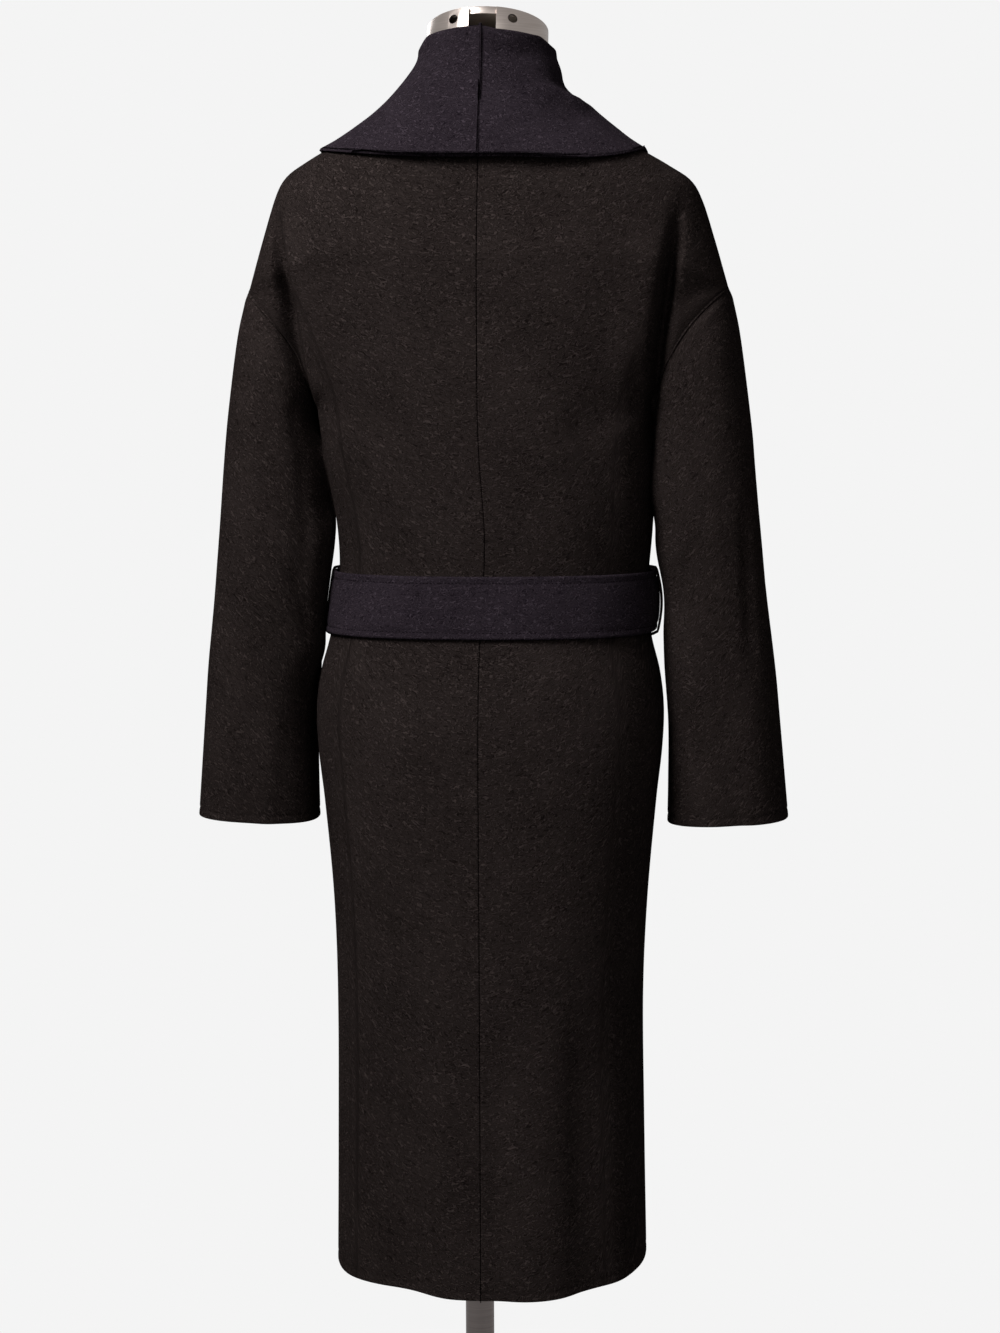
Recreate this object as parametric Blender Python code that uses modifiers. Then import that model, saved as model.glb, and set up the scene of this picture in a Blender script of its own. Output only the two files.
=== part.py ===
"""Maxi coat with a shawl collar and a tie belt, on a limbless dress form.

Metres, +Z up. The origin is under the middle of the stand's base. The coat's front faces -Y and
the wearer's left is +X. Every panel is an open surface, worked out from the tables below, with a
wall put on its inner side.
"""
import math
from collections import namedtuple

import bmesh
import bpy
import numpy as np
from mathutils import Vector

# Cloth and making
WALL = 0.002            # wall of the body and sleeve cloth
COLLAR_WALL = 0.0026    # collar, two layers pressed together
BELT_WALL = 0.0036      # belt, folded and interlined
LOOP_WALL = 0.0014      # belt carriers
HALF_SEAM = 0.00025     # each panel stops this far from its seam
SEAT = 0.0005           # clearance where one piece rests on another
SQUARE = 2.4            # exponent of the body's rounded sections

# Where the coat and form sit on the stand
COAT_X = -0.0135        # coat and form stand a little to the wearer's right of the pole

# Rows of the coat body, from the neckline to the hem. x_out and z_out lie on the shoulder and
# side seams, back and front are the depth and height on the centre lines, and edge_x is how far
# the front's edge stays from the centre front, negative past it.
Row = namedtuple("Row", "name x_out z_out y_back z_back y_front z_front edge_x")
BODY = [
    Row("neck", 0.0700, 1.4380, 0.0780, 1.432, 0.060, 1.405, 0.0680),
    Row("yoke_high", 0.1050, 1.4180, 0.0900, 1.408, 0.077, 1.383, 0.0610),
    Row("yoke_low", 0.1400, 1.3980, 0.1000, 1.382, 0.092, 1.360, 0.0530),
    Row("shoulder", 0.1700, 1.3807, 0.1080, 1.356, 0.104, 1.338, 0.0445),
    Row("shoulder_turn", 0.1900, 1.3660, 0.1125, 1.338, 0.110, 1.323, 0.0383),
    Row("cap_high", 0.2010, 1.3450, 0.1160, 1.320, 0.115, 1.306, 0.0308),
    Row("cap_low", 0.2125, 1.3070, 0.1205, 1.298, 0.120, 1.286, 0.0218),
    Row("drop_point", 0.2254, 1.2614, 0.1230, 1.272, 0.123, 1.264, 0.0112),
    Row("underarm", 0.1620, 1.1500, 0.1230, 1.150, 0.124, 1.150, -0.0340),
    Row("rib", 0.1570, 1.1010, 0.1210, 1.101, 0.122, 1.101, -0.0560),
    Row("high_waist", 0.1500, 1.0450, 0.1170, 1.045, 0.118, 1.045, -0.0800),
    Row("belt_top", 0.1466, 1.0000, 0.1120, 1.000, 0.113, 1.000, -0.0960),
    Row("waist", 0.1472, 0.9650, 0.1105, 0.965, 0.112, 0.965, -0.1030),
    Row("belt_low", 0.1530, 0.9320, 0.1160, 0.932, 0.117, 0.932, -0.1070),
    Row("high_hip", 0.1612, 0.9000, 0.1245, 0.900, 0.123, 0.900, -0.1090),
    Row("hip", 0.1650, 0.8650, 0.1305, 0.865, 0.127, 0.865, -0.1110),
    Row("low_hip", 0.1632, 0.8250, 0.1330, 0.825, 0.129, 0.825, -0.1120),
    Row("thigh_high", 0.1575, 0.7750, 0.1335, 0.775, 0.129, 0.775, -0.1120),
    Row("thigh_low", 0.1490, 0.6800, 0.1320, 0.680, 0.128, 0.680, -0.1110),
    Row("knee", 0.1450, 0.5850, 0.1315, 0.585, 0.127, 0.585, -0.1100),
    Row("calf", 0.1460, 0.4600, 0.1325, 0.458, 0.128, 0.459, -0.1100),
    Row("hem", 0.1480, 0.3360, 0.1340, 0.325, 0.130, 0.330, -0.1100),
]
ROW = {row.name: index for index, row in enumerate(BODY)}
DROP = ROW["drop_point"]
UNDERARM = ROW["underarm"]
ARMHOLE_DEPTH = 0.0745  # half the armhole's width, front to back
ARMHOLE_SQUARE = 2.86   # exponent of its rounded top
ARMHOLE_BOW = 0.016     # how far the seam cuts in towards the body
ARMHOLE_ROWS = 8        # rows between the drop point and the underarm
BACK_STEPS, FRONT_STEPS = 11, 13
BACK_SPACING = 1.25     # the back's steps start close together at the centre back

SEAM_SOFT = 0.9         # rows over which the cloth rounds off the armhole's ends inside a panel
SOFT_ROWS = 3           # it does so this many rows from the armhole's middle

RIGHT_LOW = 0.006       # the right shoulder slopes this far below the left one
LOW_FULL, LOW_FADES, LOW_ENDS = 1.6, 3.0, 6.5  # rows between which it does so

UNDER_LAP = 0.0105      # the left front runs this far inside the right one
LAP_FROM, LAP_FULL = ROW["yoke_low"], DROP

# Large folds of the body, as troughs (positive depth) or ridges (negative). Each runs from a
# high point to a low point, in x and z, on the back (side 1) or the front (side -1), and runs out
# just below it unless it reaches the hem.
Fold = namedtuple("Fold", "name side x_high z_high x_low z_low depth width")
FOLDS = [
    Fold("left_arm", 1, 0.186, 1.330, 0.160, 1.190, 0.008, 0.015),
    Fold("right_arm", 1, -0.178, 1.340, -0.156, 1.190, 0.013, 0.015),
    Fold("left_hem", 1, 0.080, 0.760, 0.072, 0.330, 0.016, 0.034),
    Fold("right_hem", 1, -0.050, 0.760, -0.060, 0.330, -0.008, 0.040),
    Fold("right_back", 1, -0.105, 1.120, -0.118, 0.995, 0.004, 0.016),
    Fold("left_front", -1, 0.182, 1.320, 0.160, 1.190, 0.009, 0.015),
    Fold("right_front", -1, -0.182, 1.320, -0.160, 1.190, 0.009, 0.015),
    Fold("front_hem", -1, -0.030, 0.800, -0.035, 0.330, -0.009, 0.045),
]

FOLD_RUN_OUT = 0.15     # share of a fold's length over which it runs out
FOLD_FADE = 10          # how late a fold dies out on its way to a seam

# Sleeve rings below the armhole: outer and inner edge, half the depth and its middle, how far
# the ring bows in towards the body, and the exponent of its rounded section.
Ring = namedtuple("Ring", "name x_outer z_outer x_inner z_inner y_half y_mid bow square")
SLEEVE = [
    Ring("head", 0.2300, 1.2500, 0.1640, 1.1440, 0.0785, 0.000, 0.0125, 2.75),
    Ring("cap", 0.2362, 1.2200, 0.1640, 1.1280, 0.0800, 0.000, 0.0070, 2.55),
    Ring("upper", 0.2430, 1.1700, 0.1620, 1.0980, 0.0795, -0.001, 0.0025, 2.35),
    Ring("biceps", 0.2500, 1.1100, 0.1590, 1.0600, 0.0775, -0.002, 0.0000, 2.20),
    Ring("above_elbow", 0.2566, 1.0450, 0.1570, 1.0110, 0.0750, -0.004, 0.0000, 2.15),
    Ring("elbow", 0.2629, 0.9800, 0.1635, 0.9580, 0.0715, -0.006, 0.0000, 2.15),
    Ring("below_elbow", 0.2692, 0.9200, 0.1655, 0.9060, 0.0685, -0.008, 0.0000, 2.15),
    Ring("forearm", 0.2745, 0.8600, 0.1690, 0.8520, 0.0655, -0.010, 0.0000, 2.15),
    Ring("low_forearm", 0.2795, 0.8030, 0.1688, 0.7980, 0.0635, -0.011, 0.0000, 2.15),
    Ring("cuff", 0.2832, 0.7610, 0.1680, 0.7565, 0.0620, -0.012, 0.0000, 2.15),
]
SLEEVE_SIDES = 2 * (ARMHOLE_ROWS + 1)
SLEEVE_CLEAR = 0.0006   # the sleeve's edge lies this far out from the armhole's

# Shawl collar: a stand round the neck, a rolled top and a fall that spreads to its edge
ROLL = 0.0036           # radius of the rolled top, to the outside of the cloth
LAPEL_ROLL = 0.0042     # and of the lapel's
ROLL_X = 0.0610         # middle of the roll, at the side of the neck
ROLL_Y = 0.0690         # and at the nape
ROLL_Z_BACK = 1.4955
ROLL_Z_SIDE = 1.4880
STAND_INSET = 0.0045    # the stand's foot lies this far inside the neckline
LIP_SET_IN = 0.0006     # middle of the lapel's rolled edge, inside the front's edge
LIP_DEPTH = WALL + 0.0015
COLLAR_LIFT = COLLAR_WALL + 0.0019
EDGE_LIFT_SIDE = COLLAR_LIFT + 0.0016  # the fall's edge stands off the shoulder
EDGE_LIFT_BACK = 0.0085  # and off the back
NAPE_EDGE_ROW = 2.22     # row of the body that the collar's edge follows at the nape
SIDE_EDGE_ROW = 2.52     # and on the left shoulder
RIGHT_SHORT = 0.34       # the right half stops this much of a row higher there
# The lapel, from the shoulder seam down: the row of the rolled edge, the row of the outer edge
# and how far that edge stays from the centre front.
Lapel = namedtuple("Lapel", "roll_row edge_row edge_x")
LAPEL = [
    Lapel(0.0, SIDE_EDGE_ROW, 0.1574),
    Lapel(1.2, 3.25, 0.1555),
    Lapel(2.6, 4.55, 0.1515),
    Lapel(4.0, 6.00, 0.1430),
    Lapel(5.5, 7.00, 0.1280),
    Lapel(6.6, 7.50, 0.1080),
    Lapel(7.4, 8.00, 0.0800),
    Lapel(8.3, 8.90, 0.0400),
    Lapel(9.2, 9.70, -0.0100),
    Lapel(10.1, 10.40, -0.0500),
    Lapel(10.9, 11.00, -0.0830),
]
LAPEL_SETTLED = 3.2     # roll row where the lapel lies flat on the front
COLLAR_BACK_STEPS = 8
COLLAR_FRONT_STEPS = 20
LAPEL_SPACING = 1.35    # the front's steps start close together at the shoulder
STAND_PLACES = (0.0, 0.5)
ROLL_PLACES = (0.0, 0.25, 0.5, 0.75, 1.0)
FALL_PLACES = (0.15, 0.32, 0.52, 0.74, 0.93, 1.0)
FALL_START = 0.128      # pull of the fall straight down from the roll
FALL_END = 0.050        # pull of the fall along the shoulder at its edge

# Belt, its carriers and its tie
BELT_TOP, BELT_BOTTOM = 0.994, 0.936
BELT_SIDE_OFF_TOP, BELT_SIDE_OFF_BOTTOM = 0.0022, 0.0018
BELT_SIDES = 64
LOOP_WIDTH = 0.012
LOOP_TOP, LOOP_BOTTOM = 0.9985, 0.9305
KNOT_SIZE = (0.062, 0.026, 0.054)
KNOT_X = 0.018
KNOT_EDGE = 0.010
TAIL_LENGTH = 0.40
TAIL_WIDTH_TOP, TAIL_WIDTH = 0.040, 0.056
TAIL_STEPS = 14
TAIL_OPENS, TAIL_SETTLES = 5, 6  # it is full width and lies on the coat after 1/5 and 1/6
Tail = namedtuple("Tail", "name shift_top shift_low lift")
TAILS = [
    Tail("belt_tail_under", -0.006, 0.030, 0.0012),
    Tail("belt_tail_over", 0.006, -0.022, 0.0058),
]

# Dress form: rings from the top of the neck to the underside
FormRow = namedtuple("FormRow", "name x z_side y_back z_back y_front z_front square")
SEAT_LINE = None        # side height taken from the coat's shoulder seam
FORM = [
    FormRow("neck_top", 0.0555, 1.480, 0.0537, 1.4975, 0.0537, 1.4625, 2.0),
    FormRow("neck_mid", 0.0552, 1.466, 0.0560, 1.4780, 0.0525, 1.4520, 2.0),
    FormRow("neck_low", 0.0558, 1.453, 0.0600, 1.4580, 0.0510, 1.4380, 2.0),
    FormRow("neck_base", 0.0590, 1.441, 0.0650, 1.4380, 0.0460, 1.4120, 2.0),
    FormRow("collar_bone", 0.0760, SEAT_LINE, 0.0760, 1.4120, 0.0470, 1.3740, 2.1),
    FormRow("shoulder_1", 0.1080, SEAT_LINE, 0.0870, 1.3880, 0.0600, 1.3500, 2.2),
    FormRow("shoulder_2", 0.1400, SEAT_LINE, 0.0940, 1.3660, 0.0730, 1.3280, 2.3),
    FormRow("shoulder_3", 0.1640, SEAT_LINE, 0.0990, 1.3450, 0.0870, 1.3150, 2.3),
    FormRow("shoulder_tip", 0.1790, 1.3640, 0.1030, 1.3250, 0.0920, 1.2950, 2.3),
    FormRow("tip_side", 0.1830, 1.3450, 0.1060, 1.3020, 0.0960, 1.2750, 2.3),
    FormRow("arm_plate", 0.1770, 1.3050, 0.1085, 1.2700, 0.0985, 1.2500, 2.3),
    FormRow("arm_low", 0.1660, 1.2500, 0.1100, 1.2350, 0.1000, 1.2200, 2.3),
    FormRow("chest", 0.1540, 1.1900, 0.1095, 1.1900, 0.1015, 1.1850, 2.3),
    FormRow("bust", 0.1450, 1.1300, 0.1060, 1.1300, 0.0995, 1.1300, 2.3),
    FormRow("ribs", 0.1340, 1.0700, 0.1000, 1.0700, 0.0930, 1.0700, 2.3),
    FormRow("waist", 0.1200, 0.9950, 0.0900, 0.9950, 0.0860, 0.9950, 2.3),
    FormRow("waist_low", 0.1220, 0.9500, 0.0900, 0.9500, 0.0860, 0.9500, 2.3),
    FormRow("high_hip", 0.1390, 0.8950, 0.1030, 0.8950, 0.0950, 0.8950, 2.3),
    FormRow("hip", 0.1510, 0.8400, 0.1150, 0.8400, 0.1030, 0.8400, 2.3),
    FormRow("seat", 0.1480, 0.7900, 0.1150, 0.7900, 0.1030, 0.7900, 2.3),
    FormRow("underside", 0.1350, 0.7520, 0.1030, 0.7520, 0.0930, 0.7520, 2.2),
    FormRow("flat", 0.1180, 0.7440, 0.0880, 0.7440, 0.0790, 0.7440, 2.2),
]
FORM_SIDES = 32
SEAT_DROP = 0.0030      # the form's shoulder lies this far under the coat's outside

# Neck cap, a tilted open band with a plate inside its top
CAP_TILT = math.radians(18)
CAP_RADIUS = 0.0568
CAP_WALL = 0.003
CAP_HEIGHT = 0.022
CAP_FOOT_Z = 1.4805     # middle of the band's foot
CAP_SLOT = 0.0255       # gap at the back of the band
CAP_HOLE_RADIUS = 0.0042
CAP_HOLE_X = 0.0275
CAP_HOLE_UP = 0.0125
CAP_SIDES = 48
CUT_MARGIN = 0.005      # cutters reach this far past what they cut
PLATE_GAP = 0.0004
PLATE_THICK = 0.0075
PLATE_RISE = 0.0015     # the plate stands this far over the band

# Stand
POLE_RADIUS = 0.01375
POLE_SIDES = 28
BASE_RADIUS = 0.185
BASE_THICK = 0.010
BASE_SIDES = 48
BOSS_RADIUS = 0.026
BOSS_TOP = 0.034
SEAT_GAP = 0.0003

Finish = namedtuple("Finish", "colour roughness metallic")
FINISHES = {
    "wool_crepe": Finish((0.020, 0.015, 0.014), 0.92, 0.0),
    "felted_wool": Finish((0.026, 0.019, 0.027), 0.90, 0.0),
    "form_cover": Finish((0.560, 0.545, 0.520), 0.75, 0.0),
    "brushed_nickel": Finish((0.560, 0.500, 0.470), 0.32, 1.0),
    "satin_steel": Finish((0.420, 0.380, 0.365), 0.38, 1.0),
}


def smooth(values, at):
    """Read a column of a table between its rows, along a smooth curve through them."""
    values = np.asarray(values, float)
    last = len(values) - 1
    low = int(min(max(math.floor(at), 0), last - 1))
    t = at - low
    slopes = np.gradient(values)
    h00 = 2 * t**3 - 3 * t**2 + 1
    h10 = t**3 - 2 * t**2 + t
    h01 = -2 * t**3 + 3 * t**2
    h11 = t**3 - t**2
    return h00 * values[low] + h10 * slopes[low] + h01 * values[low + 1] + h11 * slopes[low + 1]


def ease(t):
    """Soft step from 0 to 1."""
    t = min(max(t, 0.0), 1.0)
    return t * t * (3 - 2 * t)


def column(name, at):
    """One column of the body table."""
    return smooth([getattr(row, name) for row in BODY], at)


def armhole(turn):
    """Point of the armhole seam: turn 0 at the drop point, pi at the underarm, back first."""
    top, low = BODY[DROP], BODY[UNDERARM]
    half = math.cos(turn) / 2
    bow = ARMHOLE_BOW * math.sin(turn)**2
    x = (top.x_out + low.x_out) / 2 + half * (top.x_out - low.x_out) - bow
    z = (top.z_out + low.z_out) / 2 + half * (top.z_out - low.z_out)
    return x, ARMHOLE_DEPTH * rounded(turn - math.pi / 2, ARMHOLE_SQUARE), z


def seam_end(at):
    """End of a body row: on the shoulder seam, the armhole or the side seam."""
    if at <= DROP:
        rows, start = BODY[:DROP + 1], 0
    elif at >= UNDERARM:
        rows, start = BODY[UNDERARM:], UNDERARM
    else:
        return armhole(math.pi * (at - DROP) / (UNDERARM - DROP))
    x = smooth([row.x_out for row in rows], at - start)
    z = smooth([row.z_out for row in rows], at - start)
    return x, 0.0, z


def outer_end(at, turn):
    """End of a body row as a point inside the panel follows it, softer the further from it."""
    near = ease((SOFT_ROWS - abs(at - (DROP + UNDERARM) / 2)) / (SOFT_ROWS - 1))
    reach = SEAM_SOFT * near * math.cos(turn)**2
    ends = [seam_end(at + reach * step) for step in (-1, -0.5, 0, 0.5, 1)]
    return [sum(values) / len(ends) for values in zip(*ends)]


def fold_shift(x, z, side):
    """How far the large folds press the cloth in at a point."""
    shift = 0.0
    for fold in FOLDS:
        if fold.side != side or z > fold.z_high:
            continue
        along = min((fold.z_high - z) / (fold.z_high - fold.z_low), 1 + FOLD_RUN_OUT)
        middle = fold.x_high + (fold.x_low - fold.x_high) * along
        left = 1.0 if fold.z_low < BODY[-1].z_out else ease((1 + FOLD_RUN_OUT - along) / FOLD_RUN_OUT)
        shift += fold.depth * ease(along) * left * math.exp(-((x - middle) / fold.width)**2)
    return shift


def fold_share(turn):
    """Folds die out towards the seam at a row's end."""
    return 1 - math.sin(turn)**FOLD_FADE


def rounded(turn, exponent):
    """Cosine-like value of a rounded section."""
    value = math.cos(turn)
    return math.copysign(abs(value)**(2 / exponent), value)


def right_low(at, half):
    """How far the shoulder seam of the right half lies below that of the left."""
    if half > 0:
        return 0.0
    return RIGHT_LOW * ease(at / LOW_FULL) * ease((LOW_ENDS - at) / (LOW_ENDS - LOW_FADES))


def panel_point(end, y_mid, z_mid, turn):
    """Point of a row: it comes down steeply to a side seam, and gently to the armhole."""
    x_end, y_end, z_end = end
    square = SQUARE / (1 + (SQUARE - 1) * y_end / ARMHOLE_DEPTH)
    x = x_end * rounded(math.pi / 2 - turn, SQUARE)
    y = y_end + (y_mid - y_end) * rounded(turn, square)
    return x, y, z_mid + (z_end - z_mid) * math.sin(turn)**2


def back_point(at, turn, half):
    """Back panel's outside: turn 0 at the centre back, pi/2 at the seam; half 1 left, -1 right."""
    x, y, z = panel_point(outer_end(at, turn), column("y_back", at), column("z_back", at), turn)
    fold = fold_shift(half * x, z, 1) * fold_share(turn)
    return Vector((half * x, y - fold, z - right_low(at, half) * math.sin(turn)**2))


def front_point(at, turn, half):
    """Front panel's outside: turn 0 at the centre front, negative past it, pi/2 at the seam."""
    y_mid = column("y_front", at)
    if half > 0:
        y_mid -= UNDER_LAP * ease((at - LAP_FROM) / (LAP_FULL - LAP_FROM))
    x, y, z = panel_point(outer_end(at, turn), y_mid, column("z_front", at), turn)
    fold = fold_shift(half * x, z, -1) * fold_share(turn)
    return Vector((half * x, fold - y, z - right_low(at, half) * math.sin(turn)**2))


def front_turn(at, x):
    """Turn of a front row at a distance from the centre front."""
    share = min(max(x / outer_end(at, 0)[0], -1), 1)
    return math.asin(math.copysign(abs(share)**(SQUARE / 2), share))


def edge_turn(at):
    """Turn of a front row at the front's edge."""
    return front_turn(at, column("edge_x", at))


def normal_of(point, at, turn, half):
    """Outward normal of a panel, from points just beside the one given."""
    step = 0.01
    down = point(at + step, turn, half) - point(max(at - step, 0), turn, half)
    round_ = point(at, turn + step, half) - point(at, turn - step, half)
    normal = down.cross(round_).normalized()
    middle = point(at, turn, half)
    outward = Vector((middle.x, middle.y, 0.06))
    return normal if normal.dot(outward) > 0 else -normal


def material(name):
    """A Principled material for one finish."""
    found = bpy.data.materials.get(name)
    if found:
        return found
    finish = FINISHES[name]
    made = bpy.data.materials.new(name)
    made.use_nodes = True
    shader = made.node_tree.nodes["Principled BSDF"]
    shader.inputs["Base Color"].default_value = (*finish.colour, 1)
    shader.inputs["Roughness"].default_value = finish.roughness
    shader.inputs["Metallic"].default_value = finish.metallic
    return made


def add_object(name, mesh, finish, parent=None):
    """Put a mesh in the part's collection as a named piece."""
    piece = bpy.data.objects.new(name, mesh)
    mesh.materials.append(material(finish))
    mesh.shade_smooth()
    mesh.set_sharp_from_angle(angle=math.radians(40))
    piece.parent = parent
    bpy.data.collections["maxi_coat_on_form"].objects.link(piece)
    return piece


def surface(name, across, along, place, closed=False, caps=False):
    """A grid bent onto a surface: place(across value, along value) gives each point.

    The grid's faces point out where across runs to the right as along runs down, seen from
    outside.
    """
    bm = bmesh.new()
    bmesh.ops.create_grid(bm, x_segments=len(across) - 1, y_segments=len(along) - 1, size=1)
    for vert in bm.verts:
        i = round((vert.co.x + 1) / 2 * (len(across) - 1))
        j = round((1 - vert.co.y) / 2 * (len(along) - 1))
        vert.co = place(across[i], along[j])
    if closed:
        bmesh.ops.remove_doubles(bm, verts=bm.verts, dist=1e-6)
    if caps:
        bmesh.ops.holes_fill(bm, edges=bm.edges, sides=0)
        bmesh.ops.recalc_face_normals(bm, faces=bm.faces)
    mesh = bpy.data.meshes.new(name)
    bm.to_mesh(mesh)
    bm.free()
    return mesh


def add_wall(piece, thickness, offset=-1):
    """Give an open surface its wall, on its inner side unless offset is 1."""
    wall = piece.modifiers.new("wall", "SOLIDIFY")
    wall.thickness = thickness
    wall.offset = offset
    return wall


def body_rows():
    """Rows of the body's grid, with more of them along the armhole."""
    armhole_rows = [DROP + (k + 1) / (ARMHOLE_ROWS + 1) for k in range(ARMHOLE_ROWS)]
    return list(range(DROP + 1)) + armhole_rows + list(range(UNDERARM, len(BODY)))


def spread(start, end, count):
    """Even steps from start to end."""
    return [start + (end - start) * k / count for k in range(count + 1)]


def build_backs(parent):
    """Two back panels, joined at the centre back seam."""
    for name, half in (("back_left", 1), ("back_right", -1)):
        apart = Vector((half * HALF_SEAM, HALF_SEAM, 0))
        turns = [math.pi / 2 * share**BACK_SPACING for share in spread(0, 1, BACK_STEPS)]
        order = turns[::-1] if half > 0 else turns

        def place(turn, at):
            return back_point(at, turn, half) + apart

        piece = add_object(name, surface(name, order, body_rows(), place), "wool_crepe", parent)
        add_wall(piece, WALL)


def build_fronts(parent):
    """Two front panels. The right one laps over the left."""
    shares = spread(0, 1, FRONT_STEPS)
    for name, half in (("front_left", 1), ("front_right", -1)):
        apart = Vector((0, -HALF_SEAM, 0))

        def place(share, at):
            edge = edge_turn(at)
            return front_point(at, edge + (math.pi / 2 - edge) * share, half) + apart

        order = shares if half > 0 else shares[::-1]
        piece = add_object(name, surface(name, order, body_rows(), place), "wool_crepe", parent)
        add_wall(piece, WALL)


def sleeve_point(turn, at, half):
    """Sleeve's outside: turn 0 outer, pi/2 back, pi inner; at 0 is the ring beside the seam."""
    def read(name):
        return smooth([getattr(ring, name) for ring in SLEEVE], at)

    square = read("square")
    cos_turn, sin_turn = rounded(turn, square), rounded(turn - math.pi / 2, square)
    share = (1 + cos_turn) / 2
    x = read("x_inner") + (read("x_outer") - read("x_inner")) * share
    x -= read("bow") * sin_turn**2
    z = read("z_inner") + (read("z_outer") - read("z_inner")) * share
    return Vector((half * x, read("y_mid") + read("y_half") * sin_turn, z))


def sleeve_start(turn, half):
    """Edge of the sleeve that is sewn to the armhole, a seam's gap beyond it."""
    x, y, z = armhole(turn if turn <= math.pi else 2 * math.pi - turn)
    seam = Vector((half * x, y if turn <= math.pi else -y, z))
    way = (sleeve_point(turn, 0, half) - seam).normalized()
    return seam + way * 2 * HALF_SEAM + Vector((half * SLEEVE_CLEAR, 0, 0))


def build_sleeves(parent):
    """Two sleeves set into the dropped armholes."""
    turns = spread(0, 2 * math.pi, SLEEVE_SIDES)
    rows = [-1] + list(range(len(SLEEVE)))
    for name, half in (("sleeve_left", 1), ("sleeve_right", -1)):

        def place(turn, at):
            if at < 0:
                return sleeve_start(turn, half)
            return sleeve_point(turn, at, half)

        order = turns if half > 0 else turns[::-1]
        mesh = surface(name, order, rows, place, closed=True)
        add_wall(add_object(name, mesh, "wool_crepe", parent), WALL)


def collar_back(step, half):
    """Collar section from the nape to the shoulder: middle, up, away, foot, settled, under."""
    turn = math.pi / 4 * (1 - math.cos(math.pi * step / COLLAR_BACK_STEPS))
    radial = Vector((half * math.sin(turn), math.cos(turn), 0))
    side = math.sin(turn)**2
    middle = Vector((half * ROLL_X * math.sin(turn), ROLL_Y * math.cos(turn),
                     ROLL_Z_BACK + (ROLL_Z_SIDE - ROLL_Z_BACK) * side))
    foot = back_point(0, turn, half) - radial * STAND_INSET
    side_row = SIDE_EDGE_ROW - (RIGHT_SHORT if half < 0 else 0)
    edge_row = NAPE_EDGE_ROW + (side_row - NAPE_EDGE_ROW) * side

    def under(share):
        row = edge_row * share
        return back_point(row, turn, half), normal_of(back_point, row, turn, half)

    lift = EDGE_LIFT_SIDE + (EDGE_LIFT_BACK - EDGE_LIFT_SIDE) * (1 - side)
    return middle, Vector((0, 0, 1)), radial, foot, 0.0, under, lift


def collar_front(step, half):
    """Collar section from the shoulder down the front, where it settles into a lapel."""
    share = (step - COLLAR_BACK_STEPS) / COLLAR_FRONT_STEPS
    along = share**LAPEL_SPACING * (len(LAPEL) - 1)
    roll_row = smooth([lapel.roll_row for lapel in LAPEL], along)
    edge_row = smooth([lapel.edge_row for lapel in LAPEL], along)
    edge_x = smooth([lapel.edge_x for lapel in LAPEL], along)
    settled = ease(roll_row / LAPEL_SETTLED)
    if half < 0:
        edge_row -= RIGHT_SHORT * (1 - settled)
    roll_turn, far_turn = edge_turn(roll_row), front_turn(edge_row, edge_x)

    def under(share):
        row = roll_row + (edge_row - roll_row) * share
        turn = roll_turn + (far_turn - roll_turn) * share
        return front_point(row, turn, half), normal_of(front_point, row, turn, half)

    seam, out = under(0)
    lower = front_point(roll_row + 0.02, edge_turn(roll_row + 0.02), half)
    inward = out.cross(lower - seam).normalized()
    if inward.x * half < 0:
        inward = -inward
    bend = math.pi / 2 + math.pi / 3 * settled
    radial = Vector((half * math.sin(bend), math.cos(bend), 0))
    neck_middle = Vector((half * ROLL_X * math.sin(bend), ROLL_Y * math.cos(bend), ROLL_Z_SIDE))
    up = (Vector((0, 0, 1)) * (1 - settled) - inward * settled).normalized()
    away = radial * (1 - settled) + out * settled
    away = (away - up * away.dot(up)).normalized()
    middle = neck_middle.lerp(seam + inward * LIP_SET_IN + out * (COLLAR_LIFT - LAPEL_ROLL), settled)
    lip_end = middle + up * LAPEL_ROLL - away * LIP_DEPTH
    foot = (seam - radial * STAND_INSET).lerp(lip_end, settled)
    lift = EDGE_LIFT_SIDE + (COLLAR_LIFT - EDGE_LIFT_SIDE) * settled
    return middle, up, away, foot, settled, under, lift


def collar_points(step, half):
    """One section of the collar, from the stand's foot over the roll to the edge."""
    section = collar_back if step <= COLLAR_BACK_STEPS else collar_front
    middle, up, away, foot, settled, under, lift = section(step, half)
    first = math.pi * (1 - settled / 2)
    radius = ROLL + (LAPEL_ROLL - ROLL) * settled
    roll = []
    for share in ROLL_PLACES:
        angle = first * (1 - share)
        roll.append(middle + (away * math.cos(angle) + up * math.sin(angle)) * radius)
    points = [foot.lerp(roll[0], share) for share in STAND_PLACES] + roll
    start = roll[-1]
    edge = under(1)[0] + under(1)[1] * lift
    arrive = (under(1)[0] - under(0.9)[0]).normalized()
    for t in FALL_PLACES:
        fall = (start * (2 * t**3 - 3 * t**2 + 1) - up * FALL_START * (t**3 - 2 * t**2 + t)
                + edge * (3 * t**2 - 2 * t**3) + arrive * FALL_END * (t**3 - t**2))
        below, out = under(t)
        fall = fall.lerp(below + out * lift, settled)
        short = lift - (fall - below).dot(out)
        points.append(fall + out * max(short, 0))
    return points


def build_collar(parent):
    """Two collar halves, joined at the nape, each running down its front to the belt."""
    steps = list(range(COLLAR_BACK_STEPS + COLLAR_FRONT_STEPS + 1))
    places = list(range(len(STAND_PLACES) + len(ROLL_PLACES) + len(FALL_PLACES)))
    for name, half in (("collar_left", 1), ("collar_right", -1)):
        sections = [collar_points(step, half) for step in steps]
        apart = Vector((half * HALF_SEAM, 0, 0))

        def place(step, spot):
            return sections[step][spot] + apart

        order = steps[::-1] if half > 0 else steps
        piece = add_object(name, surface(name, order, places, place), "felted_wool", parent)
        add_wall(piece, COLLAR_WALL)


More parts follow.
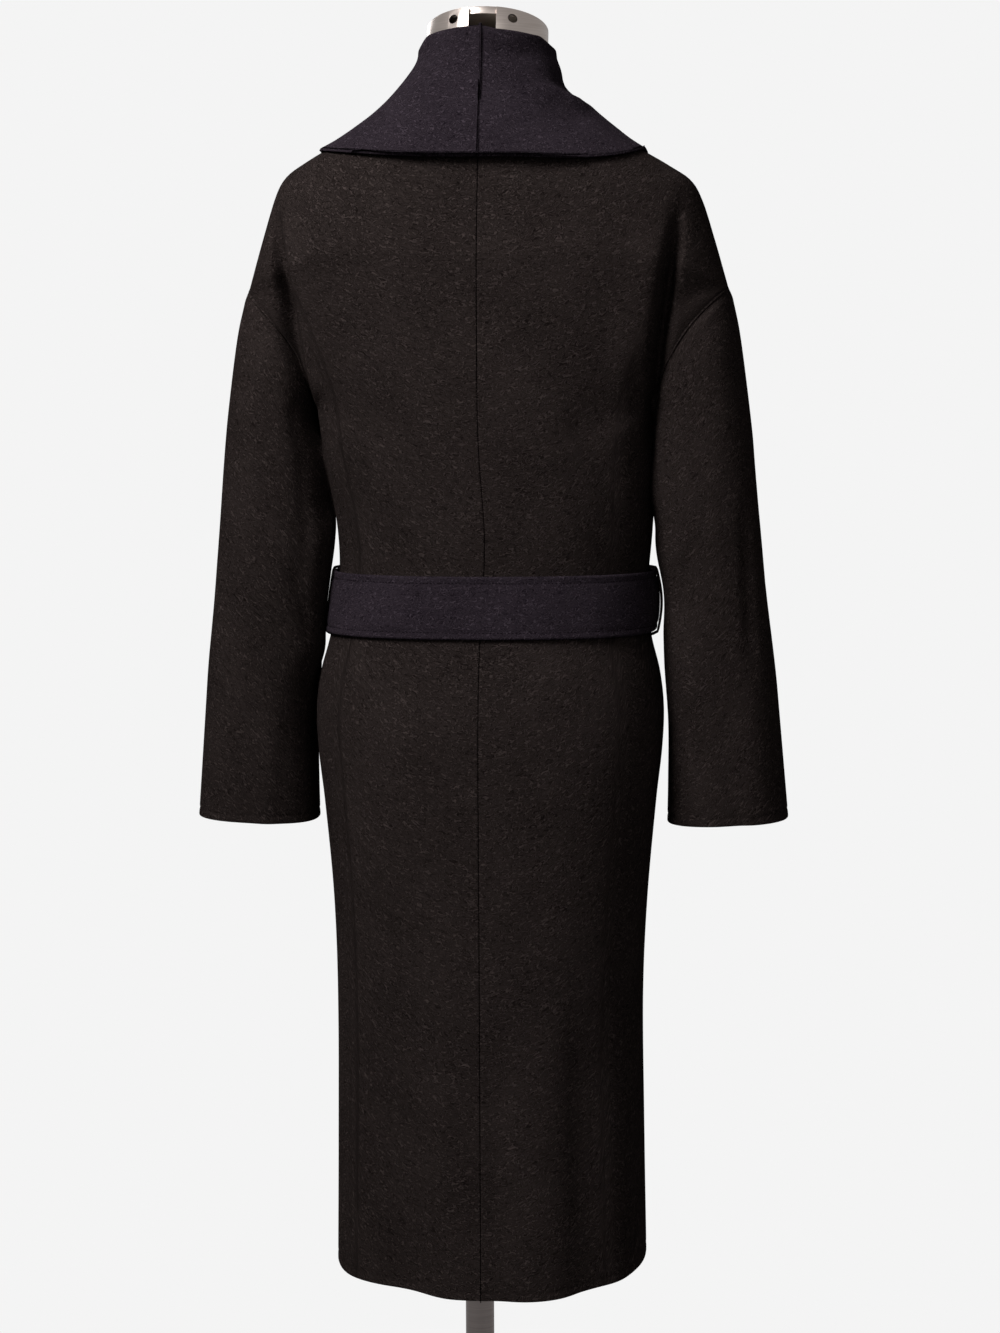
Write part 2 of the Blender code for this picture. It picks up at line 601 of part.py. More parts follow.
def row_at_height(z):
    """Body row, below the underarm, at a height."""
    heights = [row.z_out for row in BODY[UNDERARM:]]
    return UNDERARM + float(np.interp(-z, [-height for height in heights], range(len(heights))))


def belt_ring(z, turn):
    """Inside of the belt at its top or bottom edge, seated on the coat's back and front."""
    share = (BELT_TOP - z) / (BELT_TOP - BELT_BOTTOM)
    ends = []
    for edge_z, side_off in ((BELT_TOP, BELT_SIDE_OFF_TOP), (BELT_BOTTOM, BELT_SIDE_OFF_BOTTOM)):
        at = row_at_height(edge_z)
        off = SEAT + (side_off - SEAT) * math.sin(turn)**2
        if math.cos(turn) >= 0:
            depth, facing = column("y_back", at), 1
        else:
            depth, facing = column("y_front", at), -1
        x = (seam_end(at)[0] + off) * rounded(math.pi / 2 - turn, SQUARE)
        y = facing * (depth + off + HALF_SEAM) * abs(rounded(turn, SQUARE))
        ends.append(Vector((x, y, edge_z)))
    return ends[0].lerp(ends[1], share)


def build_belt(parent):
    """Belt band, its two carriers, the knot and the hanging ends."""
    turns = spread(0, 2 * math.pi, BELT_SIDES)
    heights = spread(BELT_TOP, BELT_BOTTOM, 2)
    band = surface("belt_band", turns[::-1], heights, lambda turn, z: belt_ring(z, turn), True)
    add_wall(add_object("belt_band", band, "felted_wool", parent), BELT_WALL, 1)
    build_carriers(parent)

    knot_front = belt_ring(BELT_BOTTOM, math.pi).y - BELT_WALL - SEAT_GAP
    knot_z = (BELT_TOP + BELT_BOTTOM) / 2
    bm = bmesh.new()
    bmesh.ops.create_cube(bm, size=1)
    for vert in bm.verts:
        vert.co = Vector([vert.co[k] * KNOT_SIZE[k] for k in range(3)])
    mesh = bpy.data.meshes.new("belt_knot")
    bm.to_mesh(mesh)
    bm.free()
    knot = add_object("belt_knot", mesh, "felted_wool", parent)
    knot.location = (KNOT_X, knot_front - KNOT_SIZE[1] / 2, knot_z)
    soft = knot.modifiers.new("soft_edges", "BEVEL")
    soft.width = KNOT_EDGE
    soft.segments = 3

    top_z = knot_z - KNOT_SIZE[2] / 2 - SEAT_GAP
    for tail in TAILS:
        build_tail(tail, top_z, knot.location.y, parent)


def build_carriers(parent):
    """A narrow strip over the belt at each side seam."""
    clear = SEAT + BELT_WALL
    corners = [
        (seam_end(row_at_height(LOOP_TOP))[0] + SEAT, LOOP_TOP),
        (belt_ring(BELT_TOP, math.pi / 2).x + clear, BELT_TOP + 2 * SEAT),
        (belt_ring(BELT_BOTTOM, math.pi / 2).x + clear, BELT_BOTTOM - 2 * SEAT),
        (seam_end(row_at_height(LOOP_BOTTOM))[0] + SEAT, LOOP_BOTTOM),
    ]
    widths = spread(-LOOP_WIDTH / 2, LOOP_WIDTH / 2, 2)
    for name, half in (("belt_loop_left", 1), ("belt_loop_right", -1)):

        def place(y, corner):
            return Vector((half * corner[0], y, corner[1]))

        order = widths if half > 0 else widths[::-1]
        piece = add_object(name, surface(name, order, corners, place), "wool_crepe", parent)
        add_wall(piece, LOOP_WALL, 1)


def build_tail(tail, top_z, knot_y, parent):
    """One hanging end of the belt, from under the knot down over the right front."""
    widths = spread(-0.5, 0.5, 4)

    def place(across, share):
        z = top_z - TAIL_LENGTH * share
        opened = ease(share * TAIL_OPENS)
        width = TAIL_WIDTH_TOP + (TAIL_WIDTH - TAIL_WIDTH_TOP) * opened
        x = KNOT_X + tail.shift_top + (tail.shift_low - tail.shift_top) * share + across * width
        at = row_at_height(z)
        lies = front_point(at, front_turn(at, -x), -1)
        out = normal_of(front_point, at, front_turn(at, -x), -1)
        lies += out * tail.lift
        hangs = knot_y + KNOT_SIZE[1] * 0.25 - tail.lift
        return Vector((x, hangs + (lies.y - hangs) * ease(share * TAIL_SETTLES), z))

    mesh = surface(tail.name, widths, spread(0, 1, TAIL_STEPS), place)
    add_wall(add_object(tail.name, mesh, "felted_wool", parent), BELT_WALL, 1)


def build_form(parent):
    """Torso of the dress form, one closed body with no limbs."""
    neck, shoulder = BODY[ROW["neck"]], BODY[ROW["shoulder"]]
    slope = (shoulder.z_out - neck.z_out) / (shoulder.x_out - neck.x_out)

    def place(turn, row):
        z_side = row.z_side
        if z_side is SEAT_LINE:
            z_side = neck.z_out + slope * (row.x - neck.x_out) - SEAT_DROP
            at = float(np.interp(row.x, [each.x_out for each in BODY[:DROP]], range(DROP)))
            z_side -= right_low(at, 1 if math.sin(turn) >= 0 else -1)
        back = math.cos(turn) >= 0
        depth = row.y_back if back else row.y_front
        z_mid = row.z_back if back else row.z_front
        x = row.x * rounded(math.pi / 2 - turn, row.square)
        y = depth * rounded(turn, row.square)
        level = abs(math.cos(turn)) if row.name.startswith("neck_") else math.cos(turn)**2
        return Vector((x, y, z_side + (z_mid - z_side) * level))

    turns = spread(0, 2 * math.pi, FORM_SIDES)
    mesh = surface("form_torso", turns[::-1], FORM, place, closed=True, caps=True)
    add_object("form_torso", mesh, "form_cover", parent)


def add_cylinder(name, radius, height, sides):
    """A closed cylinder mesh standing on its own origin."""
    bm = bmesh.new()
    bmesh.ops.create_cone(bm, cap_ends=True, segments=sides, radius1=radius, radius2=radius,
                          depth=height)
    bmesh.ops.translate(bm, verts=bm.verts, vec=(0, 0, height / 2))
    mesh = bpy.data.meshes.new(name)
    bm.to_mesh(mesh)
    bm.free()
    return mesh


def add_cutter(target, mesh, parent, location, rotation=(0, 0, 0)):
    """Cut a piece with a hidden shape."""
    cutter = bpy.data.objects.new(mesh.name, mesh)
    cutter.parent = parent
    cutter.location = location
    cutter.rotation_euler = rotation
    cutter.hide_render = True
    cutter.display_type = "WIRE"
    bpy.data.collections["cutters"].objects.link(cutter)
    cut = target.modifiers.new(mesh.name, "BOOLEAN")
    cut.operation = "DIFFERENCE"
    cut.object = cutter


def build_neck_cap(parent):
    """Open metal band on the neck, tilted with it, and the plate in its top."""
    tilt = bpy.data.objects.new("neck_cap_seat", None)
    bpy.data.collections["maxi_coat_on_form"].objects.link(tilt)
    tilt.parent = parent
    tilt.location = (0, 0, CAP_FOOT_Z)
    tilt.rotation_euler = (CAP_TILT, 0, 0)

    mesh = add_cylinder("neck_cap_band", CAP_RADIUS, CAP_HEIGHT, CAP_SIDES)
    band = add_object("neck_cap_band", mesh, "brushed_nickel", tilt)
    bore = add_cylinder("cap_bore", CAP_RADIUS - CAP_WALL, CAP_HEIGHT + 2 * CUT_MARGIN, CAP_SIDES)
    add_cutter(band, bore, tilt, (0, 0, -CUT_MARGIN))
    bm = bmesh.new()
    bmesh.ops.create_cube(bm, size=1)
    for vert in bm.verts:
        vert.co = Vector((vert.co.x * CAP_SLOT, vert.co.y * CAP_RADIUS,
                          vert.co.z * (CAP_HEIGHT + 2 * CUT_MARGIN)))
    slot = bpy.data.meshes.new("cap_slot")
    bm.to_mesh(slot)
    bm.free()
    add_cutter(band, slot, tilt, (0, CAP_RADIUS, CAP_HEIGHT / 2))
    for side, name in ((1, "cap_hole_left"), (-1, "cap_hole_right")):
        hole = add_cylinder(name, CAP_HOLE_RADIUS, CAP_RADIUS, 16)
        add_cutter(band, hole, tilt, (side * CAP_HOLE_X, 0.02, CAP_HOLE_UP),
                   (-math.pi / 2, 0, 0))

    inner = CAP_RADIUS - CAP_WALL - PLATE_GAP
    plate = add_object("neck_cap_plate", add_cylinder("neck_cap_plate", inner, PLATE_THICK, CAP_SIDES),
                       "brushed_nickel", tilt)
    plate.location = (0, 0, CAP_HEIGHT + PLATE_RISE - PLATE_THICK)


def build_stand():
    """Round base with a boss, and the pole that carries the form."""
    half_edge = BASE_THICK / 4
    profile = [
        (0, BOSS_TOP), (BOSS_RADIUS - half_edge, BOSS_TOP), (BOSS_RADIUS, BOSS_TOP - half_edge),
        (BOSS_RADIUS, BASE_THICK), (BASE_RADIUS - half_edge, BASE_THICK),
        (BASE_RADIUS, BASE_THICK - half_edge), (BASE_RADIUS, 0), (0, 0),
    ]
    mesh = bpy.data.meshes.new("stand_base")
    mesh.from_pydata([(r, 0, z) for r, z in profile],
                     [(k, k + 1) for k in range(len(profile) - 1)], [])
    base = add_object("stand_base", mesh, "satin_steel")
    turned = base.modifiers.new("turned", "SCREW")
    turned.steps = BASE_SIDES
    turned.render_steps = BASE_SIDES
    turned.use_merge_vertices = True
    turned.merge_threshold = 0.00005

    bottom = BOSS_TOP + SEAT_GAP
    top = FORM[-1].z_side - SEAT_GAP
    pole = add_object("stand_pole", add_cylinder("stand_pole", POLE_RADIUS, top - bottom, POLE_SIDES),
                      "satin_steel")
    pole.location = (0, 0, bottom)


def main():
    for old in list(bpy.data.objects):
        bpy.data.objects.remove(old, do_unlink=True)
    for name in ("maxi_coat_on_form", "cutters"):
        bpy.context.scene.collection.children.link(bpy.data.collections.new(name))
    centre = bpy.data.objects.new("coat_centre", None)
    centre.location = (COAT_X, 0, 0)
    bpy.data.collections["maxi_coat_on_form"].objects.link(centre)
    build_backs(centre)
    build_fronts(centre)
    build_sleeves(centre)
    build_collar(centre)
    build_belt(centre)
    build_form(centre)
    build_neck_cap(centre)
    build_stand()


main()
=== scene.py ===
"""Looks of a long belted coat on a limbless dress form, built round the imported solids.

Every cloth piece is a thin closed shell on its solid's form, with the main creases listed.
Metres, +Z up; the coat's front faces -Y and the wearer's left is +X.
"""
import logging
import math
from dataclasses import dataclass, field
from enum import Enum
from typing import Callable, NamedTuple, Sequence

import bmesh
import bpy
import numpy as np
from bmesh.types import BMesh
from bpy.types import ID, Material, Mesh, Node, NodeSocket, NodeTree, Object
from mathutils import Matrix, Vector


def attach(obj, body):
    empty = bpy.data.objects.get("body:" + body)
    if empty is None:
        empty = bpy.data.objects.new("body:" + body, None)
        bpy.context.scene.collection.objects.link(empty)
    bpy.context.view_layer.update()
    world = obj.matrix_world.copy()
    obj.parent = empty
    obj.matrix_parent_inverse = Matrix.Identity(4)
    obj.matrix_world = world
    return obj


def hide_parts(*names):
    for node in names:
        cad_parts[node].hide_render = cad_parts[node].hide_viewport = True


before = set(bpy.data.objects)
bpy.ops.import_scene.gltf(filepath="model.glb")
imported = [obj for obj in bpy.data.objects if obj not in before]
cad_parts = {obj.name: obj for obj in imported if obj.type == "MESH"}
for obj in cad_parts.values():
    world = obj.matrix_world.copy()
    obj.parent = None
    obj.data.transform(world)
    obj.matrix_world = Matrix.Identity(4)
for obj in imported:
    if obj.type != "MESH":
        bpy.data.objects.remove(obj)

LOG = logging.getLogger("maxi_coat")
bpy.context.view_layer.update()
UV_NAME = "cloth"
COAT_X = -0.0135  # coat and form stand a little to the wearer's right of the pole
SQUARE = 2.4  # exponent of the body's rounded sections

Array = np.ndarray
Pair = tuple[float, float]
Triple = tuple[float, float, float]
Settings = dict[str, object]
Inputs = dict[str | int, object]


class Hold(Enum):
    """How a sheet of cloth is held."""

    HUNG = "hung"
    FOLDED = "folded"
    LAID = "laid"


def linear(colour: str) -> tuple[float, float, float, float]:
    """Turn an sRGB hex colour into linear RGBA.

    Args:
        colour: Colour such as "#2A2322".

    Returns:
        Linear red, green and blue, and an alpha of 1.
    """
    parts = [int(colour[k:k + 2], 16) / 255 for k in (1, 3, 5)]
    red, green, blue = (c / 12.92 if c <= 0.04045 else ((c + 0.055) / 1.055)**2.4 for c in parts)
    return red, green, blue, 1.0


def add_node(tree: NodeTree, kind: str, settings: Settings | None = None,
             inputs: Inputs | None = None) -> Node:
    """Add a node with its settings and links.

    Args:
        tree: Node tree that gets the node.
        kind: Blender's name of the node.
        settings: Attributes of the node.
        inputs: For each input socket a value, or another node's output to link.

    Returns:
        The new node.
    """
    node = tree.nodes.new(kind)
    for name, value in (settings or {}).items():
        setattr(node, name, value)
    fill(tree, node, inputs or {})
    return node


def fill(tree: NodeTree, node: Node, inputs: Inputs) -> None:
    """Give a node's input sockets their values and links.

    Args:
        tree: Node tree that the node is in.
        node: The node.
        inputs: For each input socket a value, or another node's output to link.
    """
    for key, value in inputs.items():
        if isinstance(value, NodeSocket):
            tree.links.new(value, node.inputs[key])
        else:
            node.inputs[key].default_value = value


def placed(name: str, data: ID) -> Object:
    """Put new data in the scene as an object.

    Args:
        name: Name of the object.
        data: Its mesh, light or camera.

    Returns:
        The object.
    """
    made = bpy.data.objects.new(name, data)
    bpy.context.scene.collection.objects.link(made)
    return made


def per_metre(millimetres: float) -> float:
    """How many times a pattern of this size repeats in a metre."""
    return 1000 / millimetres


def noise(tree: NodeTree, place: NodeSocket, scale: float, detail: float,
          distortion: float = 0.0) -> NodeSocket:
    """Add a noise pattern.

    Args:
        tree: Node tree that gets it.
        place: Coordinates that it lies on.
        scale: Repeats for each unit of them.
        detail: Number of finer layers.
        distortion: How far it is stirred.

    Returns:
        Its values.
    """
    return add_node(tree, "ShaderNodeTexNoise", {}, {
        "Vector": place, "Scale": scale, "Detail": detail, "Distortion": distortion}).outputs["Fac"]


def blend(tree: NodeTree, share: NodeSocket, first: object,
          second: object) -> NodeSocket:
    """Add a mix of two colours.

    Args:
        tree: Node tree that gets it.
        share: Share of the second colour.
        first: Colour, or an output that gives it.
        second: The other colour.

    Returns:
        The mixed colour.
    """
    return add_node(tree, "ShaderNodeMix", {"data_type": "RGBA"}, {
        "Factor": share, 6: first, 7: second}).outputs[2]


def relief_normal(tree: NodeTree, height: NodeSocket, millimetres: float,
                  strength: float) -> NodeSocket:
    """Add the normals of a fine relief.

    Args:
        tree: Node tree that gets them.
        height: Values from 0 to 1.
        millimetres: How high 1 stands.
        strength: Share of the relief that shows.

    Returns:
        The normals.
    """
    return add_node(tree, "ShaderNodeBump", {}, {
        "Strength": strength, "Distance": millimetres / 1000, "Height": height}).outputs[0]


def new_material(name: str) -> tuple[Material, NodeTree, Node]:
    """Start a node material.

    Args:
        name: Name of the finish.

    Returns:
        The material, its tree and its Principled shader.
    """
    made = bpy.data.materials.new(name)
    made.use_nodes = True
    return made, made.node_tree, made.node_tree.nodes["Principled BSDF"]


@dataclass(frozen=True)
class Wool:
    """Woollen cloth, with ridges or a nap that stands up from it.

    Wool has no gloss. Its loose fibres catch light at the edges, and lighter ones show as flecks.
    Its colour is lighter on each ridge's crest and darker at its foot: painted highlight and painted
    shade.
    """

    name: str
    dark: str
    light: str
    fleck: str
    ridge_mm: float  # from one ridge to the next, down the cloth
    ridge_length_mm: float  # length of a ridge across it
    height_mm: float
    fleck_mm: float  # drawn coarser than single fibres, so that flecks show
    fleck_share: float
    waviness: float
    sheen: float
    sheen_colour: str
    ridge_ramp: tuple[Pair, ...] = (
        (0.30, 0.42), (0.41, 0.26), (0.462, 0.03), (0.515, 1.0), (0.568, 0.20), (0.70, 0.42))
    roughness: float = 0.93
    sheen_roughness: float = 0.55
    patch_mm: float = 70.0  # slow change of shade over the cloth
    patch_share: float = 0.30
    patch_range: Pair = (0.3, 0.7)
    fleck_range: Pair = (0.60, 0.72)  # noise that turns into flecks
    fleck_stir: float = 0.6
    fibre_share: float = 0.5  # height of the flecks beside that of the ridges

    def material(self) -> Material:
        """Build the material on the cloth's own UV map, which is in metres.

        Returns:
            The finished material.
        """
        made, tree, shader = new_material(self.name)
        uv = add_node(tree, "ShaderNodeUVMap", {"uv_map": UV_NAME}).outputs["UV"]
        place = add_node(tree, "ShaderNodeMapping", {}, {"Vector": uv, "Scale": (
            per_metre(self.ridge_length_mm), per_metre(self.ridge_mm), 1)}).outputs[0]
        swirl = noise(tree, place, 1.0, 1.0, self.waviness)
        # Ridges follow the lines where the noise passes its middle value, so they wander and fork.
        # Each has a raised crest beside a sunk foot, and the cloth between them lies at a middle height.
        # The colour follows the same profile: painted highlight on each crest, painted shade in each
        # foot.
        ramp = add_node(tree, "ShaderNodeValToRGB")
        for place_at, value in self.ridge_ramp:
            stop = ramp.color_ramp.elements.new(place_at)
            stop.color = (value, value, value, 1)
        tree.links.new(swirl, ramp.inputs["Fac"])
        relief = ramp.outputs["Color"]
        patches = noise(tree, uv, per_metre(self.patch_mm), 2.0)
        specks = noise(tree, uv, per_metre(self.fleck_mm), 2.0, self.fleck_stir)
        shade = add_node(tree, "ShaderNodeMath", {"operation": "MULTIPLY_ADD"}, {
            0: patches, 1: self.patch_share, 2: relief}).outputs[0]
        tone_and_ridge_shade = add_node(tree, "ShaderNodeMapRange", {}, {
            "Value": shade, "From Min": self.patch_share * self.patch_range[0],
            "From Max": 1 + self.patch_share * self.patch_range[1]}).outputs["Result"]
        # painted highlight and painted shade: the ridges' crests get the light colour and their feet the
        # dark
        cloth = blend(tree, tone_and_ridge_shade, linear(self.dark), linear(self.light))
        loose = add_node(tree, "ShaderNodeMapRange", {}, {
            "Value": specks, "From Min": self.fleck_range[0], "From Max": self.fleck_range[1],
            "To Max": self.fleck_share}).outputs["Result"]
        fibres = add_node(tree, "ShaderNodeMath", {"operation": "MULTIPLY_ADD"}, {
            0: specks, 1: self.fibre_share, 2: relief}).outputs[0]
        fill(tree, shader, {
            "Base Color": blend(tree, loose, cloth, linear(self.fleck)),
            "Normal": relief_normal(tree, fibres, self.height_mm, 1.0),
            "Roughness": self.roughness, "Specular IOR Level": 0.0, "Sheen Weight": self.sheen,
            "Sheen Roughness": self.sheen_roughness, "Sheen Tint": linear(self.sheen_colour)})
        return made


# Double-faced wool crepe: hard-twisted yarn, steamed so that it puckers into short wavy ridges.
WOOL_CREPE = Wool(
    "double_faced_crepe", "#0C0807", "#504644", "#7A706C", ridge_mm=3.2, ridge_length_mm=6.2,
    height_mm=0.60, fleck_mm=1.5, fleck_share=0.12, waviness=0.7, sheen=0.01, sheen_colour="#8A807C")
# Felted wool: woven, milled and brushed, so that a short nap hides the weave and lights its edges.
FELTED_WOOL = Wool(
    "milled_wool", "#110C12", "#534952", "#7E747E", ridge_mm=3.0, ridge_length_mm=5.0,
    height_mm=0.50, fleck_mm=1.3, fleck_share=0.12, waviness=0.8, sheen=0.03, sheen_colour="#9A8F98")


@dataclass(frozen=True)
class SewingThread:
    """Matt spun thread, a little darker than the cloth; along the seams it draws their shadow line, as
    painted shadow.
    """

    name: str
    colour: str
    twist_mm: float = 0.8
    dip_share: float = 0.5  # light that is left between two turns of the twist
    roughness: float = 0.9

    def material(self) -> Material:
        """Build the material: a twisted strand, drawn as fine bands along it.

        Returns:
            The finished material.
        """
        made, tree, shader = new_material(self.name)
        place = add_node(tree, "ShaderNodeTexCoord").outputs["Object"]
        twist = noise(tree, place, per_metre(self.twist_mm), 1.0)
        dark = tuple(channel * self.dip_share for channel in linear(self.colour)[:3]) + (1.0,)
        fill(tree, shader, {
            "Base Color": blend(tree, twist, dark, linear(self.colour)),
            "Roughness": self.roughness, "Specular IOR Level": 0.0})
        return made


# painted shadow: dark thread that draws the shadow line of the armholes and the centre back seam
SEAM_SHADOW_THREAD = SewingThread("seam_shadow_thread", "#0A0707")
# painted shadow on the collar's nape seam; on the belt it is edge stitching
COLLAR_THREAD_AND_SEAM_SHADOW = SewingThread("collar_thread_and_seam_shadow", "#100C10")


@dataclass(frozen=True)
class FormJersey:
    """Cotton stretch jersey, pulled tight over the form: fine upright ribs, painted shade between them,
    no gloss.
    """

    name: str = "cotton_jersey"
    rib: str = "#D3CDC3"
    # painted shade: the valleys between the ribs are coloured darker than the ribs
    painted_valley_shade: str = "#B9B2A7"
    rib_mm: float = 1.6  # drawn coarser than real jersey, so that the ribs show
    height_mm: float = 0.15
    relief: float = 0.8
    stir: float = 0.6
    band: float = 0.314  # a wave texture has one band for each such step of its coordinate
    roughness: float = 0.85
    sheen: float = 0.15

    def material(self) -> Material:
        """Build the material on the form's own UV map, which is in metres.

        Returns:
            The finished material.
        """
        made, tree, shader = new_material(self.name)
        uv = add_node(tree, "ShaderNodeUVMap", {"uv_map": UV_NAME}).outputs["UV"]
        ribs = add_node(tree, "ShaderNodeTexWave", {"bands_direction": "X"}, {
            "Vector": uv, "Scale": per_metre(self.rib_mm) * self.band, "Distortion": self.stir,
            "Detail": 1.0}).outputs["Fac"]
        # painted shade: the wave pattern colours the valleys darker, in step with the rib relief
        fill(tree, shader, {
            "Base Color": blend(tree, ribs, linear(self.painted_valley_shade), linear(self.rib)),
            "Normal": relief_normal(tree, ribs, self.height_mm, self.relief),
            "Roughness": self.roughness, "Sheen Weight": self.sheen})
        return made


@dataclass(frozen=True)
class BrushedMetal:
    """Metal brushed round its axis: fine bright and dull lines that stretch highlights."""

    name: str
    bright: str
    dull: str
    roughness: float
    line_mm: float = 0.9  # drawn coarser than real brush marks, so that they show
    line_length_mm: float = 40.0
    height_mm: float = 0.015
    relief: float = 0.6
    spread: float = 0.08  # how much the roughness changes from line to line

    def material(self) -> Material:
        """Build the material on Object coordinates, with its lines lying flat.

        Returns:
            The finished material.
        """
        made, tree, shader = new_material(self.name)
        place = add_node(tree, "ShaderNodeTexCoord").outputs["Object"]
        length = per_metre(self.line_length_mm)
        lines = add_node(tree, "ShaderNodeMapping", {}, {
            "Vector": place, "Scale": (length, length, per_metre(self.line_mm))})
        brushed = noise(tree, lines.outputs[0], 1.0, 3.0)
        gloss = add_node(tree, "ShaderNodeMapRange", {}, {
            "Value": brushed, "To Min": self.roughness + self.spread,
            "To Max": self.roughness - self.spread}).outputs["Result"]
        fill(tree, shader, {
            "Base Color": blend(tree, brushed, linear(self.dull), linear(self.bright)),
            "Roughness": gloss, "Metallic": 1.0,
            "Normal": relief_normal(tree, brushed, self.height_mm, self.relief)})
        return made


# Nickel plate over brass, brushed: warm grey with soft stretched highlights.
BRUSHED_NICKEL = BrushedMetal("nickel_plate", "#C9BEB8", "#A3978F", roughness=0.34)
# Satin-finished steel: darker and duller.
SATIN_STEEL = BrushedMetal("satin_finished_steel", "#8B8380", "#6F6765", roughness=0.40)
FORM_JERSEY = FormJersey()


def hermite(start: Array, leave: Array, end: Array, arrive: Array, t: Array) -> Array:
    """Smooth curve between two ends.

    Args:
        start: Where it starts.
        leave: Its way and pull there.
        end: Where it ends.
        arrive: Its way and pull there.
        t: Places along it, from 0 to 1.

    Returns:
        The points there.
    """
    return ((2 * t**3 - 3 * t**2 + 1) * start + (t**3 - 2 * t**2 + t) * leave
            + (3 * t**2 - 2 * t**3) * end + (t**3 - t**2) * arrive)


def smooth(values: Sequence[float], at: Array) -> Array:
    """Read a column of a table between its rows, along a smooth curve through them.

    Args:
        values: The column, one value for each row.
        at: Row numbers, with fractions.

    Returns:
        The values there.
    """
    column = np.asarray(values, float)
    slope = np.gradient(column)
    low = np.clip(np.floor(at), 0, len(column) - 2).astype(int)
    return hermite(column[low], slope[low], column[low + 1], slope[low + 1], at - low)


def ease(t: Array) -> Array:
    """Soft step from 0 to 1."""
    t = np.clip(t, 0.0, 1.0)
    return t * t * (3 - 2 * t)


def mix(first: Array, second: Array, share: Array) -> Array:
    """Value a share of the way from the first to the second."""
    return first + (second - first) * share


def rounded(turn: Array, exponent: Array) -> Array:
    """Cosine-like value of a rounded section."""
    value = np.cos(turn)
    return np.sign(value) * np.abs(value)**(2 / exponent)


def all_round(places: int) -> Array:
    """Turns spaced evenly all round, without a repeated one."""
    return np.linspace(0, 2 * math.pi, places, endpoint=False)


def points(x: Array, y: Array, z: Array) -> Array:
    """Points from their coordinates, which may have different shapes."""
    return np.stack(np.broadcast_arrays(x, y, z), axis=-1)


def unit(vectors: Array) -> Array:
    """Vectors of length 1."""
    return vectors / np.maximum(np.linalg.norm(vectors, axis=-1, keepdims=True), 1e-12)


def dot(first: Array, second: Array) -> Array:
    """Scalar products, kept as a last axis of length 1."""
    return np.sum(first * second, axis=-1, keepdims=True)


def run_length(grid: Array, axis: int) -> Array:
    """Length along one axis of a grid of points, from its first line to each point."""
    steps = np.linalg.norm(np.diff(grid, axis=axis), axis=-1)
    pad = [(1, 0) if k == axis else (0, 0) for k in range(steps.ndim)]
    return np.cumsum(np.pad(steps, pad), axis=axis)


@dataclass(frozen=True)
class Crease:
    """A soft trough in the cloth, or a ridge where its depth is negative.

    It runs from start to end, two places on the cloth in metres: across it, and up it.
    """

    start: Pair
    end: Pair
    depth: float
    width: float
    bow: float = 0.0  # how far its middle swings aside
    steep: float = 1.0  # width of its right flank, as a share of the left
    fades: Pair = (0.35, 0.35)  # share of it that fades at each end, 0 at an edge

    def press(self, across: Array, up: Array) -> Array:
        """How far it presses the cloth in.

        Args:
            across: Places across the cloth.
            up: Places up the cloth.

        Returns:
            Depth at each place, negative on a ridge.
        """
        run = np.subtract(self.end, self.start)
        length = float(np.hypot(*run))
        right, rise = across - self.start[0], up - self.start[1]
        along = (right * run[0] + rise * run[1]) / length**2
        aside = (rise * run[0] - right * run[1]) / length - 4 * self.bow * along * (1 - along)
        width = np.where(aside > 0, self.width, self.width * self.steep)
        depth = self.depth * np.exp(-(aside / width)**2)
        for fade, place in zip(self.fades, (along, 1 - along)):
            if fade:
                depth = depth * ease(place / fade)
        return depth


def press_all(creases: Sequence[Crease], across: Array, up: Array) -> Array:
    """How far all of a piece's creases press it in."""
    return sum(crease.press(across, up) for crease in creases)


@dataclass(frozen=True)
class EdgeLine:
    """A faint line beside an edge, where it is turned in or stitched."""

    at: float  # distance from the edge
    depth: float
    width: float

    def press(self, distance: Array) -> Array:
        """How far it presses the cloth in, at distances from the edge."""
        return self.depth * np.exp(-((distance - self.at) / self.width)**2)


TURNED_EDGE = EdgeLine(0.0075, 0.0005, 0.0016)
CLOSE_STEPS = np.array([2.6, 2.3, 2.0, 1.75, 1.5, 1.2, 0.8, 0.45])  # close rows, in wide ones
FINE_ROWS = 1500  # rows that lengths are measured on


def closer_at_end(rows: Array) -> Array:
    """Rows with close ones in place of the last few, where an edge is turned in."""
    close = rows[-1] - (rows[-1] - rows[-2]) * CLOSE_STEPS
    return np.concatenate([rows[:-4], close, rows[-1:]])


def grid_normals(grid: Array, tube: bool = False) -> Array:
    """Outward normals of a grid whose lines run down and whose places run to the right.

    Args:
        grid: Points, line by line.
        tube: Whether the last place of a line meets the first.

    Returns:
        A normal for each point.
    """
    wide = np.concatenate([grid[:, -1:], grid, grid[:, :1]], axis=1) if tube else grid
    across = np.gradient(wide, axis=1)
    if tube:
        across = across[:, 1:-1]
    return unit(np.cross(np.gradient(grid, axis=0), across))


def pressed(grid: Array, depth: Array, tube: bool = False) -> Array:
    """Press a grid of points in along its normals.

    Args:
        grid: Points, line by line.
        depth: How far each one goes in.
        tube: Whether the last place of a line meets the first.

    Returns:
        The moved points.
    """
    return grid - grid_normals(grid, tube) * depth[..., None]


EDGE_PLACES = (0.12, 0.42, 1.0)  # extra lines beside an edge, as shares of its radius


